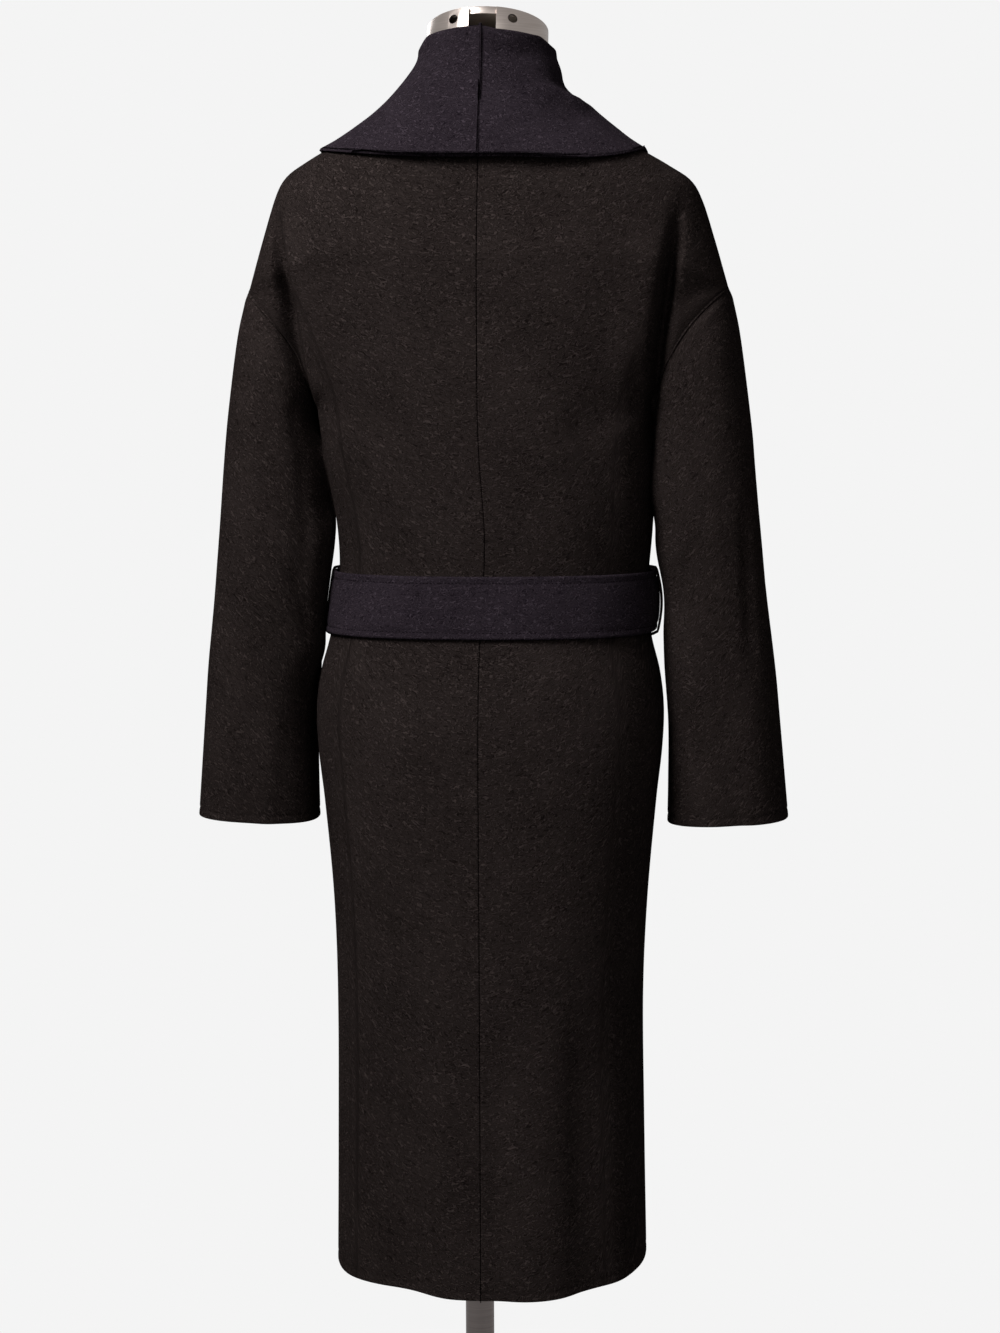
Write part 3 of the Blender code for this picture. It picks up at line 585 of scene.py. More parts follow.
def edge_lines(grid: Array, radii: Pair) -> tuple[Array, Array]:
    """Add lines beside a grid's first and last ones, for a rounded edge.

    Args:
        grid: Points, line by line.
        radii: How far the rounding of the first and of the last line reaches.

    Returns:
        The wider grid, and how far each line goes into the wall, as a share of half of it.
    """
    falls = [1 - math.sqrt(1 - (1 - place)**2) for place in EDGE_PLACES]
    first, last = unit(grid[1] - grid[0]) * radii[0], unit(grid[-2] - grid[-1]) * radii[1]
    lines = [grid[0]] + [grid[0] + first * place for place in EDGE_PLACES]
    lines += list(grid[1:-1]) + [grid[-1] + last * place for place in EDGE_PLACES[::-1]] + [grid[-1]]
    drop = [1.0] + falls + [0.0] * (len(grid) - 2) + falls[::-1] + [1.0]
    return np.array(lines), np.array(drop)


class Rims(NamedTuple):
    """How far each edge of a sheet is rounded off."""

    top: float
    bottom: float
    first: float = 0.001
    last: float = 0.001


def uv_mesh(name: str, verts: list, faces: list, corners: Array) -> Mesh:
    """Make a smooth mesh with a UV map.

    Args:
        name: Name of the mesh.
        verts: Its points.
        faces: Numbers of the points of each face.
        corners: Place of each face's corners on the UV map, in metres.

    Returns:
        The mesh.
    """
    mesh = bpy.data.meshes.new(name)
    mesh.from_pydata(verts, [], faces)
    mesh.uv_layers.new(name=UV_NAME).data.foreach_set("uv", corners.ravel())
    mesh.shade_smooth()
    return mesh


def cloth_mesh(name: str, grid: Array, wall: float, rims: Rims, tube: bool = False,
               from_last: bool = False, swell: Callable[[Array], Array] | None = None) -> Mesh:
    """Make a closed thin shell, with rounded edges, from the outside of a piece of cloth.

    Args:
        name: Name of the mesh.
        grid: Points of the outside, line by line, without a repeated place on a tube.
        wall: Thickness, put on the inner side.
        rims: Rounding of the edges.
        tube: Whether the last place of a line meets the first.
        from_last: Whether the UV map is measured from each line's last place, not its first.
        swell: Gives how much thicker each point is, as over a seam allowance.

    Returns:
        A mesh with a UV map in metres.
    """
    grid, row_drop = edge_lines(grid, (rims.top, rims.bottom))
    place_drop = np.zeros(grid.shape[1])
    if not tube:
        turned, place_drop = edge_lines(grid.swapaxes(0, 1), (rims.first, rims.last))
        grid = turned.swapaxes(0, 1)
    drop = 1 - (1 - row_drop[:, None]) * (1 - place_drop[None, :])
    normals = grid_normals(grid, tube)
    length = run_length(grid, 0)
    walls = wall + (swell(grid) if swell else np.zeros_like(length))
    outside = grid - normals * (drop * walls / 2)[..., None]
    inside = grid - normals * (walls - drop * walls / 2)[..., None]
    edge = drop >= 1
    outer = np.arange(edge.size).reshape(edge.shape)
    inner = outer.copy()
    inner[~edge] = edge.size + np.arange(np.count_nonzero(~edge))
    u, v = run_length(grid, 1), -length
    if from_last:
        u = u - u[:, -1:]
    if tube:
        outer, inner = (np.concatenate([a, a[:, :1]], axis=1) for a in (outer, inner))
        closing = np.linalg.norm(grid[:, 0] - grid[:, -1], axis=-1)[:, None]
        u = np.concatenate([u, u[:, -1:] + closing], axis=1)
        v = np.concatenate([v, v[:, :1]], axis=1)
    faces, corners = [], []
    for index, order in ((outer, (0, 1, 2, 3)), (inner, (3, 2, 1, 0))):
        quads = [index[:-1, :-1], index[1:, :-1], index[1:, 1:], index[:-1, 1:]]
        places = [np.stack([u, v], axis=-1)[rows, columns] for rows, columns in (
            (slice(None, -1), slice(None, -1)), (slice(1, None), slice(None, -1)),
            (slice(1, None), slice(1, None)), (slice(None, -1), slice(1, None)))]
        faces.append(np.stack([quads[k].ravel() for k in order], axis=1))
        corners.append(np.stack([places[k].reshape(-1, 2) for k in order], axis=1))
    verts = np.concatenate([outside.reshape(-1, 3), inside[~edge]])
    return uv_mesh(name, verts.tolist(), np.concatenate(faces).tolist(), np.concatenate(corners))


MATERIALS: dict[str, Material] = {}
Finish = Wool | SewingThread | FormJersey | BrushedMetal


def material_of(finish: Finish) -> Material:
    """The finish's material, built when it is first asked for.

    Args:
        finish: What a piece is made of.

    Returns:
        The material, shared by all pieces of that finish.
    """
    if finish.name not in MATERIALS:
        MATERIALS[finish.name] = finish.material()
    return MATERIALS[finish.name]


def add_piece(name: str, mesh: Mesh, finish: Finish, nodes: Sequence[str] = (),
              shift: float = COAT_X) -> Object:
    """Put a mesh in the scene as a dressed piece of the object.

    Args:
        name: Name of the piece.
        mesh: Its mesh, in the coat's own middle.
        finish: What it is made of.
        nodes: Solids that it stands for.
        shift: How far the mesh goes along X to its place.

    Returns:
        The object.
    """
    mesh.transform(Matrix.Translation((shift, 0, 0)))
    mesh.materials.clear()
    mesh.materials.append(material_of(finish))
    piece = placed(name, mesh)
    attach(piece, "root")
    if nodes:
        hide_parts(*nodes)
    LOG.info("%s: %d faces", name, len(mesh.polygons))
    return piece


class BodyRow(NamedTuple):
    """One row of the coat's body, from the neckline to the hem.

    x_out and z_out lie on the shoulder and side seams, back and front are the depth and height on
    the centre lines, and edge_x is how far the front's edge stays from the centre front.
    """

    name: str
    x_out: float
    z_out: float
    y_back: float
    z_back: float
    y_front: float
    z_front: float
    edge_x: float


BODY_ROWS = (
    BodyRow("neck", 0.0700, 1.4380, 0.0780, 1.432, 0.060, 1.405, 0.0680),
    BodyRow("yoke_high", 0.1050, 1.4180, 0.0900, 1.408, 0.077, 1.383, 0.0610),
    BodyRow("yoke_low", 0.1400, 1.3980, 0.1000, 1.382, 0.092, 1.360, 0.0530),
    BodyRow("shoulder", 0.1700, 1.3807, 0.1080, 1.356, 0.104, 1.338, 0.0445),
    BodyRow("shoulder_turn", 0.1900, 1.3660, 0.1125, 1.338, 0.110, 1.323, 0.0383),
    BodyRow("cap_high", 0.2010, 1.3450, 0.1160, 1.320, 0.115, 1.306, 0.0308),
    BodyRow("cap_low", 0.2125, 1.3070, 0.1205, 1.298, 0.120, 1.286, 0.0218),
    BodyRow("drop_point", 0.2254, 1.2614, 0.1230, 1.272, 0.123, 1.264, 0.0112),
    BodyRow("underarm", 0.1620, 1.1500, 0.1230, 1.150, 0.124, 1.150, -0.0340),
    BodyRow("rib", 0.1570, 1.1010, 0.1210, 1.101, 0.122, 1.101, -0.0560),
    BodyRow("high_waist", 0.1500, 1.0450, 0.1170, 1.045, 0.118, 1.045, -0.0800),
    BodyRow("belt_top", 0.1466, 1.0000, 0.1120, 1.000, 0.113, 1.000, -0.0960),
    BodyRow("waist", 0.1472, 0.9650, 0.1105, 0.965, 0.112, 0.965, -0.1030),
    BodyRow("belt_low", 0.1530, 0.9320, 0.1160, 0.932, 0.117, 0.932, -0.1070),
    BodyRow("high_hip", 0.1612, 0.9000, 0.1245, 0.900, 0.123, 0.900, -0.1090),
    BodyRow("hip", 0.1650, 0.8650, 0.1305, 0.865, 0.127, 0.865, -0.1110),
    BodyRow("low_hip", 0.1632, 0.8250, 0.1330, 0.825, 0.129, 0.825, -0.1120),
    BodyRow("thigh_high", 0.1575, 0.7750, 0.1335, 0.775, 0.129, 0.775, -0.1120),
    BodyRow("thigh_low", 0.1490, 0.6800, 0.1320, 0.680, 0.128, 0.680, -0.1110),
    BodyRow("knee", 0.1450, 0.5850, 0.1315, 0.585, 0.127, 0.585, -0.1100),
    BodyRow("calf", 0.1460, 0.4600, 0.1325, 0.458, 0.128, 0.459, -0.1100),
    BodyRow("hem", 0.1480, 0.3360, 0.1340, 0.325, 0.130, 0.330, -0.1100),
)
DROP = [row.name for row in BODY_ROWS].index("drop_point")
UNDERARM = DROP + 1
HEM = len(BODY_ROWS) - 1


class Fold(NamedTuple):
    """A large fold of the body, from a high to a low point, on the back (1) or the front (-1)."""

    side: int
    x_high: float
    z_high: float
    x_low: float
    z_low: float
    depth: float
    width: float


@dataclass
class CoatBody:
    """Outside of the coat's body, which every panel, the collar and the belt lie on."""

    armhole_depth: float = 0.0745
    armhole_square: float = 2.86
    armhole_bow: float = 0.016
    seam_soft: float = 0.9
    soft_rows: float = 3
    right_low: float = 0.006  # the right shoulder slopes this far below the left one
    low_rows: Triple = (1.6, 3.0, 6.5)
    waist_lean: float = 0.0055  # the waist hangs this far to the right
    lean_at: float = 1.030
    lean_reach: float = 0.065
    under_lap: float = 0.0105
    lap_rows: Pair = (2, 7)
    fold_run_out: float = 0.15
    fold_fade: float = 10
    measured_turn: float = 0.6  # rows are spaced along the back on this line
    normal_step: float = 0.01
    below: float = 0.06  # normals of the shoulders point up from here
    arm_from: float = 0.003  # the valleys beside the sleeves start this far behind the seams
    arm_reach: float = 0.03
    folds: tuple[Fold, ...] = (
        Fold(1, 0.186, 1.33, 0.16, 1.19, 0.008, 0.015),
        Fold(1, -0.181, 1.34, -0.16, 1.19, 0.01, 0.009),
        Fold(1, 0.08, 0.76, 0.072, 0.33, 0.016, 0.034),
        Fold(1, -0.05, 0.76, -0.06, 0.33, -0.008, 0.04),
        Fold(1, -0.105, 1.12, -0.118, 0.995, 0.004, 0.016),
        Fold(-1, 0.182, 1.32, 0.16, 1.19, 0.009, 0.015),
        Fold(-1, -0.182, 1.32, -0.16, 1.19, 0.009, 0.015),
        Fold(-1, -0.03, 0.8, -0.035, 0.33, -0.009, 0.045),
    )
    # Fold edges of the back, and the valleys between them and the sleeves. They cross the seams.
    arm_creases: tuple[Crease, ...] = (
        Crease((0.1905, 1.34), (0.1395, 1.02), -0.009, 0.005, bow=-0.003, steep=6.0,
               fades=(0.2, 0.3)),
        Crease((0.1945, 1.355), (0.143, 1.025), 0.021, 0.011, bow=-0.003, steep=0.22,
               fades=(0.25, 0.12)),
        Crease((0.197, 1.352), (0.169, 1.185), 0.012, 0.011, bow=-0.002, steep=0.3,
               fades=(0.25, 0.35)),
        Crease((-0.176, 1.35), (-0.141, 1.015), -0.008, 0.026, bow=0.002, steep=0.18,
               fades=(0.3, 0.25)),
        Crease((-0.1845, 1.35), (-0.1495, 1.085), 0.024, 0.0054, bow=0.002, steep=1.0,
               fades=(0.3, 0.2)),
    )

    def lean(self, z: Array) -> Array:
        """How far aside the coat hangs at a height."""
        return -self.waist_lean * np.exp(-((z - self.lean_at) / self.lean_reach)**2)

    def arm_pressed(self, grid: Array) -> Array:
        """The grid with the valleys beside the sleeves, which lead the cloth forwards."""
        depth = press_all(self.arm_creases, grid[..., 0], grid[..., 2])
        depth = depth * ease((grid[..., 1] - self.arm_from) / self.arm_reach)
        return grid - points(0 * depth, depth, 0 * depth)

    def shoulder_low(self, at: Array, half: int) -> Array:
        """How far a half's shoulder seam lies below that of the left half."""
        full, fades, ends = self.low_rows
        low = self.right_low * ease(at / full) * ease((ends - at) / (ends - fades))
        return low if half < 0 else 0 * low

    def column(self, name: str, at: Array) -> Array:
        """One column of the body's table."""
        return smooth([getattr(row, name) for row in BODY_ROWS], at)

    def armhole(self, turn: Array) -> tuple[Array, Array, Array]:
        """Armhole seam.

        Args:
            turn: 0 at the drop point, pi at the underarm, on the back.

        Returns:
            Its x, y and z.
        """
        top, low = BODY_ROWS[DROP], BODY_ROWS[UNDERARM]
        half = np.cos(turn) / 2
        x = (top.x_out + low.x_out) / 2 + half * (top.x_out - low.x_out)
        z = (top.z_out + low.z_out) / 2 + half * (top.z_out - low.z_out)
        y = self.armhole_depth * rounded(turn - math.pi / 2, self.armhole_square)
        return x - self.armhole_bow * np.sin(turn)**2, y, z

    def seam_end(self, at: Array) -> tuple[Array, Array, Array]:
        """End of a row, on the shoulder seam, the armhole or the side seam.

        Args:
            at: Row numbers.

        Returns:
            Its x, y and z.
        """
        at = np.asarray(at, float)
        upper, lower = np.minimum(at, DROP), np.maximum(at, UNDERARM) - UNDERARM
        hole = self.armhole(math.pi * np.clip(at - DROP, 0, 1))
        ends = []
        for name, middle in zip(("x_out", "y", "z_out"), hole):
            if name == "y":
                ends.append(np.where((at > DROP) & (at < UNDERARM), middle, 0.0))
                continue
            values = [getattr(row, name) for row in BODY_ROWS]
            above, below = smooth(values[:DROP + 1], upper), smooth(values[UNDERARM:], lower)
            ends.append(np.where(at <= DROP, above, np.where(at >= UNDERARM, below, middle)))
        return ends[0], ends[1], ends[2]

    def outer_end(self, at: Array, turn: Array) -> list[Array]:
        """End of a row as places inside the panel follow it, softer the further from it.

        Args:
            at: Row numbers.
            turn: 0 at the centre, pi / 2 at the seam.

        Returns:
            Its x, y and z.
        """
        off = np.abs(at - (DROP + UNDERARM) / 2)
        reach = self.seam_soft * ease((self.soft_rows - off) / (self.soft_rows - 1)) * np.cos(turn)**2
        ends = [self.seam_end(at + reach * step) for step in (-1, -0.5, 0, 0.5, 1)]
        return [sum(values) / len(ends) for values in zip(*ends)]

    def fold_shift(self, x: Array, z: Array, side: int) -> Array:
        """How far the large folds press the cloth in.

        Args:
            x: Places across.
            z: Heights.
            side: 1 for the back, -1 for the front.

        Returns:
            Depth at each place.
        """
        shift = np.zeros(np.broadcast(x, z).shape)
        for fold in self.folds:
            if fold.side != side:
                continue
            along = np.clip((fold.z_high - z) / (fold.z_high - fold.z_low), 0, 1 + self.fold_run_out)
            middle = mix(fold.x_high, fold.x_low, along)
            left = 1.0
            if fold.z_low > BODY_ROWS[HEM].z_out:
                left = ease((1 + self.fold_run_out - along) / self.fold_run_out)
            shift = shift + fold.depth * ease(along) * left * np.exp(-((x - middle) / fold.width)**2)
        return shift

    def panel(self, at: Array, turn: Array, half: int, side: int, y_mid: Array) -> Array:
        """Points of a panel's outside.

        Args:
            at: Row numbers.
            turn: 0 at the centre, negative past it, pi / 2 at the seam.
            half: 1 on the left, -1 on the right.
            side: 1 for the back, -1 for the front.
            y_mid: Depth on the centre line.

        Returns:
            The points.
        """
        x_end, y_end, z_end = self.outer_end(at, turn)
        square = SQUARE / (1 + (SQUARE - 1) * y_end / self.armhole_depth)
        x = half * x_end * rounded(math.pi / 2 - turn, SQUARE)
        y = y_end + (y_mid - y_end) * rounded(turn, square)
        z = mix(self.column("z_back" if side > 0 else "z_front", at), z_end, np.sin(turn)**2)
        fold = self.fold_shift(x, z, side) * (1 - np.sin(turn)**self.fold_fade)
        low = self.shoulder_low(at, half) * np.sin(turn)**2
        return points(x + self.lean(z), side * (y - fold), z - low)

    def back(self, at: Array, turn: Array, half: int) -> Array:
        """Outside of a back panel, with turn 0 at the centre back."""
        return self.panel(at, turn, half, 1, self.column("y_back", at))

    def front(self, at: Array, turn: Array, half: int) -> Array:
        """Outside of a front panel, of which the left one lies under.

        Args:
            at: Row numbers.
            turn: 0 at the centre front, pi / 2 at the seam.
            half: 1 on the left, -1 on the right.

        Returns:
            The points.
        """
        y_mid = self.column("y_front", at)
        if half > 0:
            first, full = self.lap_rows
            y_mid = y_mid - self.under_lap * ease((at - first) / (full - first))
        return self.panel(at, turn, half, -1, y_mid)

    def front_turn(self, at: Array, x: Array) -> Array:
        """Turn of a front row at a distance from the centre front."""
        share = np.clip(x / self.outer_end(at, 0.0)[0], -1, 1)
        return np.arcsin(np.sign(share) * np.abs(share)**(SQUARE / 2))

    def edge_turn(self, at: Array) -> Array:
        """Turn of a front row at the front's edge."""
        return self.front_turn(at, self.column("edge_x", at))

    def normal(self, place: Callable[[Array, Array, int], Array], at: Array, turn: Array,
               half: int) -> Array:
        """Outward normals of a panel, from points just beside those given.

        Args:
            place: The panel's own method.
            at: Row numbers.
            turn: Turns of the rows.
            half: 1 on the left, -1 on the right.

        Returns:
            The normals.
        """
        step = self.normal_step
        down = place(at + step, turn, half) - place(np.maximum(at - step, 0), turn, half)
        round_ = place(at, turn + step, half) - place(at, turn - step, half)
        normal = unit(np.cross(down, round_))
        outward = dot(normal, place(at, turn, half) * (1, 1, 0) + (0, 0, self.below))
        return normal * np.where(outward > 0, 1, -1)

    def row_at(self, z: Array) -> Array:
        """Row, below the underarm, at a height."""
        heights = [row.z_out for row in BODY_ROWS[UNDERARM:]]
        return UNDERARM + np.interp(-np.asarray(z), [-h for h in heights], range(len(heights)))

    def rows(self, spacing: float) -> Array:
        """Row numbers spaced evenly down the back.

        Args:
            spacing: Distance from one row to the next.

        Returns:
            The row numbers, from the neckline to the hem.
        """
        fine = np.linspace(0, HEM, FINE_ROWS)
        length = run_length(self.back(fine, np.full_like(fine, self.measured_turn), 1), 0)
        even = np.linspace(0, length[-1], round(length[-1] / spacing) + 1)
        return np.interp(even, length, fine)


@dataclass
class BodyPanels:
    """Two backs, joined down the centre, and two fronts that wrap right over left."""

    body: CoatBody
    wall: float = 0.002
    half_seam: float = 0.00003
    spacing: float = 0.0042
    back_places: int = 104
    front_places: int = 66
    seam_rim: float = 0.0014  # how far the cloth rolls into a seam
    open_rim: float = 0.0011  # and round an open edge
    back_cut: Pair = (0.285, 1.135)
    back_area: float = 0.262
    front_cut: Pair = (0.360, 1.135)
    front_area: float = 0.330
    hem_line: EdgeLine = TURNED_EDGE
    seam_places: int = 3  # creases fade this many places from a seam
    crowding: float = 1.1  # places lie closer towards the centre back
    back_creases: tuple[Crease, ...] = (
        Crease((0.148, 1.25), (0.122, 1.06), -0.0026, 0.016),
        Crease((-0.138, 1.27), (-0.124, 1.08), -0.003, 0.014),
        Crease((-0.076, 1.165), (-0.144, 1.055), 0.003, 0.011, bow=0.005),
        Crease((-0.07, 1.12), (-0.136, 1.022), 0.0026, 0.009, bow=0.004),
        Crease((-0.095, 1.085), (-0.139, 1.0), -0.002, 0.008),
        Crease((0.05, 0.925), (0.076, 0.8), -0.0018, 0.015),
        Crease((-0.035, 0.925), (-0.056, 0.79), 0.002, 0.014),
        Crease((0.13, 0.76), (0.129, 0.33), -0.004, 0.017, fades=(0.45, 0)),
        Crease((0.03, 0.7), (0.035, 0.33), -0.0028, 0.022, fades=(0.5, 0)),
        Crease((-0.09, 0.69), (-0.098, 0.33), 0.005, 0.016, steep=1.5, fades=(0.5, 0)),
        Crease((-0.123, 0.56), (-0.125, 0.33), -0.003, 0.012, fades=(0.5, 0)),
        Crease((-0.015, 0.6), (-0.018, 0.33), 0.0022, 0.014, fades=(0.55, 0)),
    )
    front_creases: tuple[Crease, ...] = (
        Crease((0.176, 1.29), (0.14, 1.01), 0.005, 0.012, bow=0.005),
        Crease((-0.178, 1.3), (-0.142, 1.01), 0.006, 0.012, bow=-0.005),
        Crease((0.07, 0.925), (0.092, 0.78), 0.0028, 0.014),
        Crease((0.035, 0.928), (0.03, 0.8), 0.0024, 0.01),
        Crease((-0.02, 0.928), (-0.03, 0.79), -0.0022, 0.011),
        Crease((-0.062, 0.925), (-0.076, 0.77), 0.003, 0.013),
        Crease((0.108, 0.7), (0.112, 0.33), 0.006, 0.02, fades=(0.5, 0)),
        Crease((0.045, 0.65), (0.042, 0.33), -0.003, 0.022, fades=(0.5, 0)),
        Crease((-0.085, 0.7), (-0.092, 0.33), 0.0065, 0.021, steep=1.4, fades=(0.5, 0)),
        Crease((-0.125, 0.62), (-0.126, 0.33), -0.003, 0.013, fades=(0.5, 0)),
    )

    def fine(self, grid: Array, creases: Sequence[Crease]) -> Array:
        """Press the creases and the hem's turned-edge line into a grid.

        Args:
            grid: Points of the outside.
            creases: The creases of that side.

        Returns:
            The creased grid.
        """
        grid = self.body.arm_pressed(grid)
        depth = press_all(creases, grid[..., 0], grid[..., 2])
        seam = np.minimum(np.arange(grid.shape[1]), np.arange(grid.shape[1])[::-1])
        depth = depth * ease(seam / self.seam_places)[None, :]
        length = run_length(grid, 0)
        return pressed(grid, depth + self.hem_line.press(length[-1:] - length))

    def rims(self) -> Rims:
        """Rounding of a panel's edges."""
        return Rims(self.open_rim, self.open_rim, self.seam_rim, self.seam_rim)

    def build(self) -> list[Object]:
        """Make and dress the four panels.

        Returns:
            The pieces.
        """
        rows = closer_at_end(self.body.rows(self.spacing))[:, None]
        edge = self.body.edge_turn(rows)
        backs = math.pi / 2 * np.linspace(0, 1, self.back_places + 1)[None, :]**self.crowding
        fronts = edge + (math.pi / 2 - edge) * np.linspace(0, 1, self.front_places + 1)[None, :]
        made = []
        for name, half in (("back_left", 1), ("back_right", -1)):
            grid = self.body.back(rows, backs[:, ::-half], half)
            grid = self.fine(grid, self.back_creases) + (half * self.half_seam, self.half_seam, 0)
            mesh = cloth_mesh(name, grid, self.wall, self.rims(), from_last=half > 0)
            piece = add_piece(f"{name}_cloth", mesh, WOOL_CREPE, [name])
            made.append(piece)
        for name, half in (("front_left", 1), ("front_right", -1)):
            grid = self.body.front(rows, fronts[:, ::half], half)
            grid = self.fine(grid, self.front_creases) - (0, self.half_seam, 0)
            mesh = cloth_mesh(name, grid, self.wall, self.rims(), from_last=half < 0)
            piece = add_piece(f"{name}_cloth", mesh, WOOL_CREPE, [name])
            made.append(piece)
        return made


class SleeveRing(NamedTuple):
    """One ring of a sleeve: its edges, half depth and its middle, its bow and its exponent."""

    name: str
    x_outer: float
    z_outer: float
    x_inner: float
    z_inner: float
    y_half: float
    y_mid: float
    bow: float
    square: float


@dataclass
class Sleeves:
    """Two wide sleeves, set into the dropped armholes, with one seam under the arm."""

    body: CoatBody
    wall: float = 0.002
    seam_gap: float = 0.0001
    clear: float = 0.0001  # the sleeve's edge lies this far out from the armhole's
    places: int = 160
    spacing: float = 0.0042
    head_rows: int = 8
    mean_radius: float = 0.070  # turns this wide measure the way round a sleeve
    # How far the left and the right sleeve fill out towards the body, and between which heights.
    inner_full: tuple[Triple, ...] = (
        (0.0108, 0.880, 1.150), (0.0095, 1.030, 1.200))
    above_belt: Pair = (0.0045, 0.995)  # so much more on the left, from here up
    full_fade: float = 0.05
    full_turn: float = 0.4  # and how soon it sets in behind the sleeve's middle
    # The right carrier dents the sleeve beside it: how far, at which height, how far up and down.
    carrier_dent: Triple = (0.0037, 0.983, 0.05)
    seam_rim: float = 0.0014
    open_rim: float = 0.0011
    cut: Pair = (0.420, 0.500)
    area: float = 0.185
    cuff_line: EdgeLine = TURNED_EDGE
    fine_rings: int = 800  # rings that the length is measured on
    ahead_step: float = 0.05
    crease_rows: int = 6  # creases set in over this many rows below the head
    rings: tuple[SleeveRing, ...] = (
        SleeveRing("head", 0.2300, 1.2500, 0.1640, 1.1440, 0.0785, 0.000, 0.0125, 2.75),
        SleeveRing("cap", 0.2362, 1.2200, 0.1640, 1.1280, 0.0800, 0.000, 0.0070, 2.75),
        SleeveRing("upper", 0.2430, 1.1700, 0.1620, 1.0980, 0.0795, -0.001, 0.0025, 2.75),
        SleeveRing("biceps", 0.2500, 1.1100, 0.1590, 1.0600, 0.0775, -0.002, 0.0000, 2.80),
        SleeveRing("above_elbow", 0.2566, 1.0450, 0.1570, 1.0110, 0.0750, -0.004, 0.0000, 2.80),
        SleeveRing("elbow", 0.2629, 0.9800, 0.1635, 0.9580, 0.0715, -0.006, 0.0000, 2.80),
        SleeveRing("below_elbow", 0.2692, 0.9200, 0.1655, 0.9060, 0.0685, -0.008, 0.0000, 2.75),
        SleeveRing("forearm", 0.2745, 0.8600, 0.1690, 0.8520, 0.0655, -0.010, 0.0000, 2.65),
        SleeveRing("low_forearm", 0.2795, 0.8030, 0.1688, 0.7980, 0.0635, -0.011, 0.0000, 2.50),
        SleeveRing("cuff", 0.2832, 0.7610, 0.1680, 0.7565, 0.0620, -0.012, 0.0000, 2.40),
    )
    # Creases lie on the left and on the right sleeve: across is the way round from the back's
    # middle, towards the body, and up is the height.
    left_creases: tuple[Crease, ...] = (
        Crease((0.03, 1.19), (0.045, 0.96), 0.004, 0.011, bow=-0.006, steep=1.5),
        Crease((-0.02, 1.12), (0.01, 0.9), -0.0024, 0.013),
        Crease((0.01, 1.01), (0.06, 0.93), 0.003, 0.01, bow=0.004),
        Crease((-0.055, 1.06), (-0.03, 0.85), 0.0028, 0.013, bow=0.005),
        Crease((0.02, 0.9), (0.015, 0.757), -0.0022, 0.012, fades=(0.5, 0)),
        Crease((-0.11, 1.15), (-0.1, 0.9), 0.0032, 0.013, bow=0.006),
        Crease((-0.15, 1.05), (-0.12, 0.96), 0.003, 0.01),
    )
    right_creases: tuple[Crease, ...] = (
        Crease((0.035, 1.2), (0.05, 0.97), 0.0045, 0.011, bow=-0.006, steep=1.5),
        Crease((-0.015, 1.15), (0.005, 0.93), -0.0026, 0.014),
        Crease((0.005, 1.03), (0.06, 0.94), 0.0034, 0.011, bow=0.005),
        Crease((-0.06, 1.09), (-0.035, 0.88), 0.003, 0.013, bow=0.005),
        Crease((0.0, 0.91), (-0.01, 0.757), 0.0028, 0.012, fades=(0.5, 0)),
        Crease((-0.115, 1.13), (-0.1, 0.88), 0.0032, 0.014, bow=-0.006),
        Crease((-0.155, 1.06), (-0.12, 0.98), 0.0028, 0.01),
    )

    def read(self, name: str, at: Array) -> Array:
        """One column of the rings' table."""
        return smooth([getattr(ring, name) for ring in self.rings], at)

    def ring(self, turn: Array, at: Array, half: int) -> Array:
        """Points of the outside below the armhole.

        Args:
            turn: 0 on the outer side, pi / 2 at the back, pi beside the body.
            at: Ring numbers.
            half: 1 on the left, -1 on the right.

        Returns:
            The points.
        """
        square = self.read("square", at)
        cos_turn, sin_turn = rounded(turn, square), rounded(turn - math.pi / 2, square)
        share = (1 + cos_turn) / 2
        x = mix(self.read("x_inner", at), self.read("x_outer", at), share)
        x = x - self.read("bow", at) * sin_turn**2
        z = mix(self.read("z_inner", at), self.read("z_outer", at), share)
        full, low, high = self.inner_full[0 if half > 0 else 1]
        full = full * ease((z - low) / self.full_fade)
        if half > 0:
            full = full + self.above_belt[0] * ease((z - self.above_belt[1]) / self.full_fade)
        full = full * ease((high - z) / self.full_fade)
        x = x - full * (1 - share) * ease(sin_turn / self.full_turn)
        if half < 0:
            dent, height, reach = self.carrier_dent
            x = x + dent * (1 - share)**2 * ease(1 - np.abs(z - height) / reach)
        return points(half * x, self.read("y_mid", at) + self.read("y_half", at) * sin_turn, z)

    def head(self, turn: Array, share: Array, half: int) -> Array:
        """Points between the armhole's seam and the first ring, joining it smoothly.

        Args:
            turn: As for a ring.
            share: 0 at the seam, 1 at the first ring.
            half: 1 on the left, -1 on the right.

        Returns:
            The points.
        """
        x, y, z = self.body.armhole(np.minimum(turn, 2 * math.pi - turn))
        seam = points(half * x, np.where(turn <= math.pi, y, -y), z)
        first = self.ring(turn, np.zeros_like(turn), half)
        start = seam + unit(first - seam) * self.seam_gap + (half * self.clear, 0, 0)
        ahead = unit(self.ring(turn, np.full_like(turn, self.ahead_step), half) - first)
        ahead = ahead * np.linalg.norm(first - start, axis=-1, keepdims=True)
        return hermite(start, first - start, first, ahead, share[..., None])

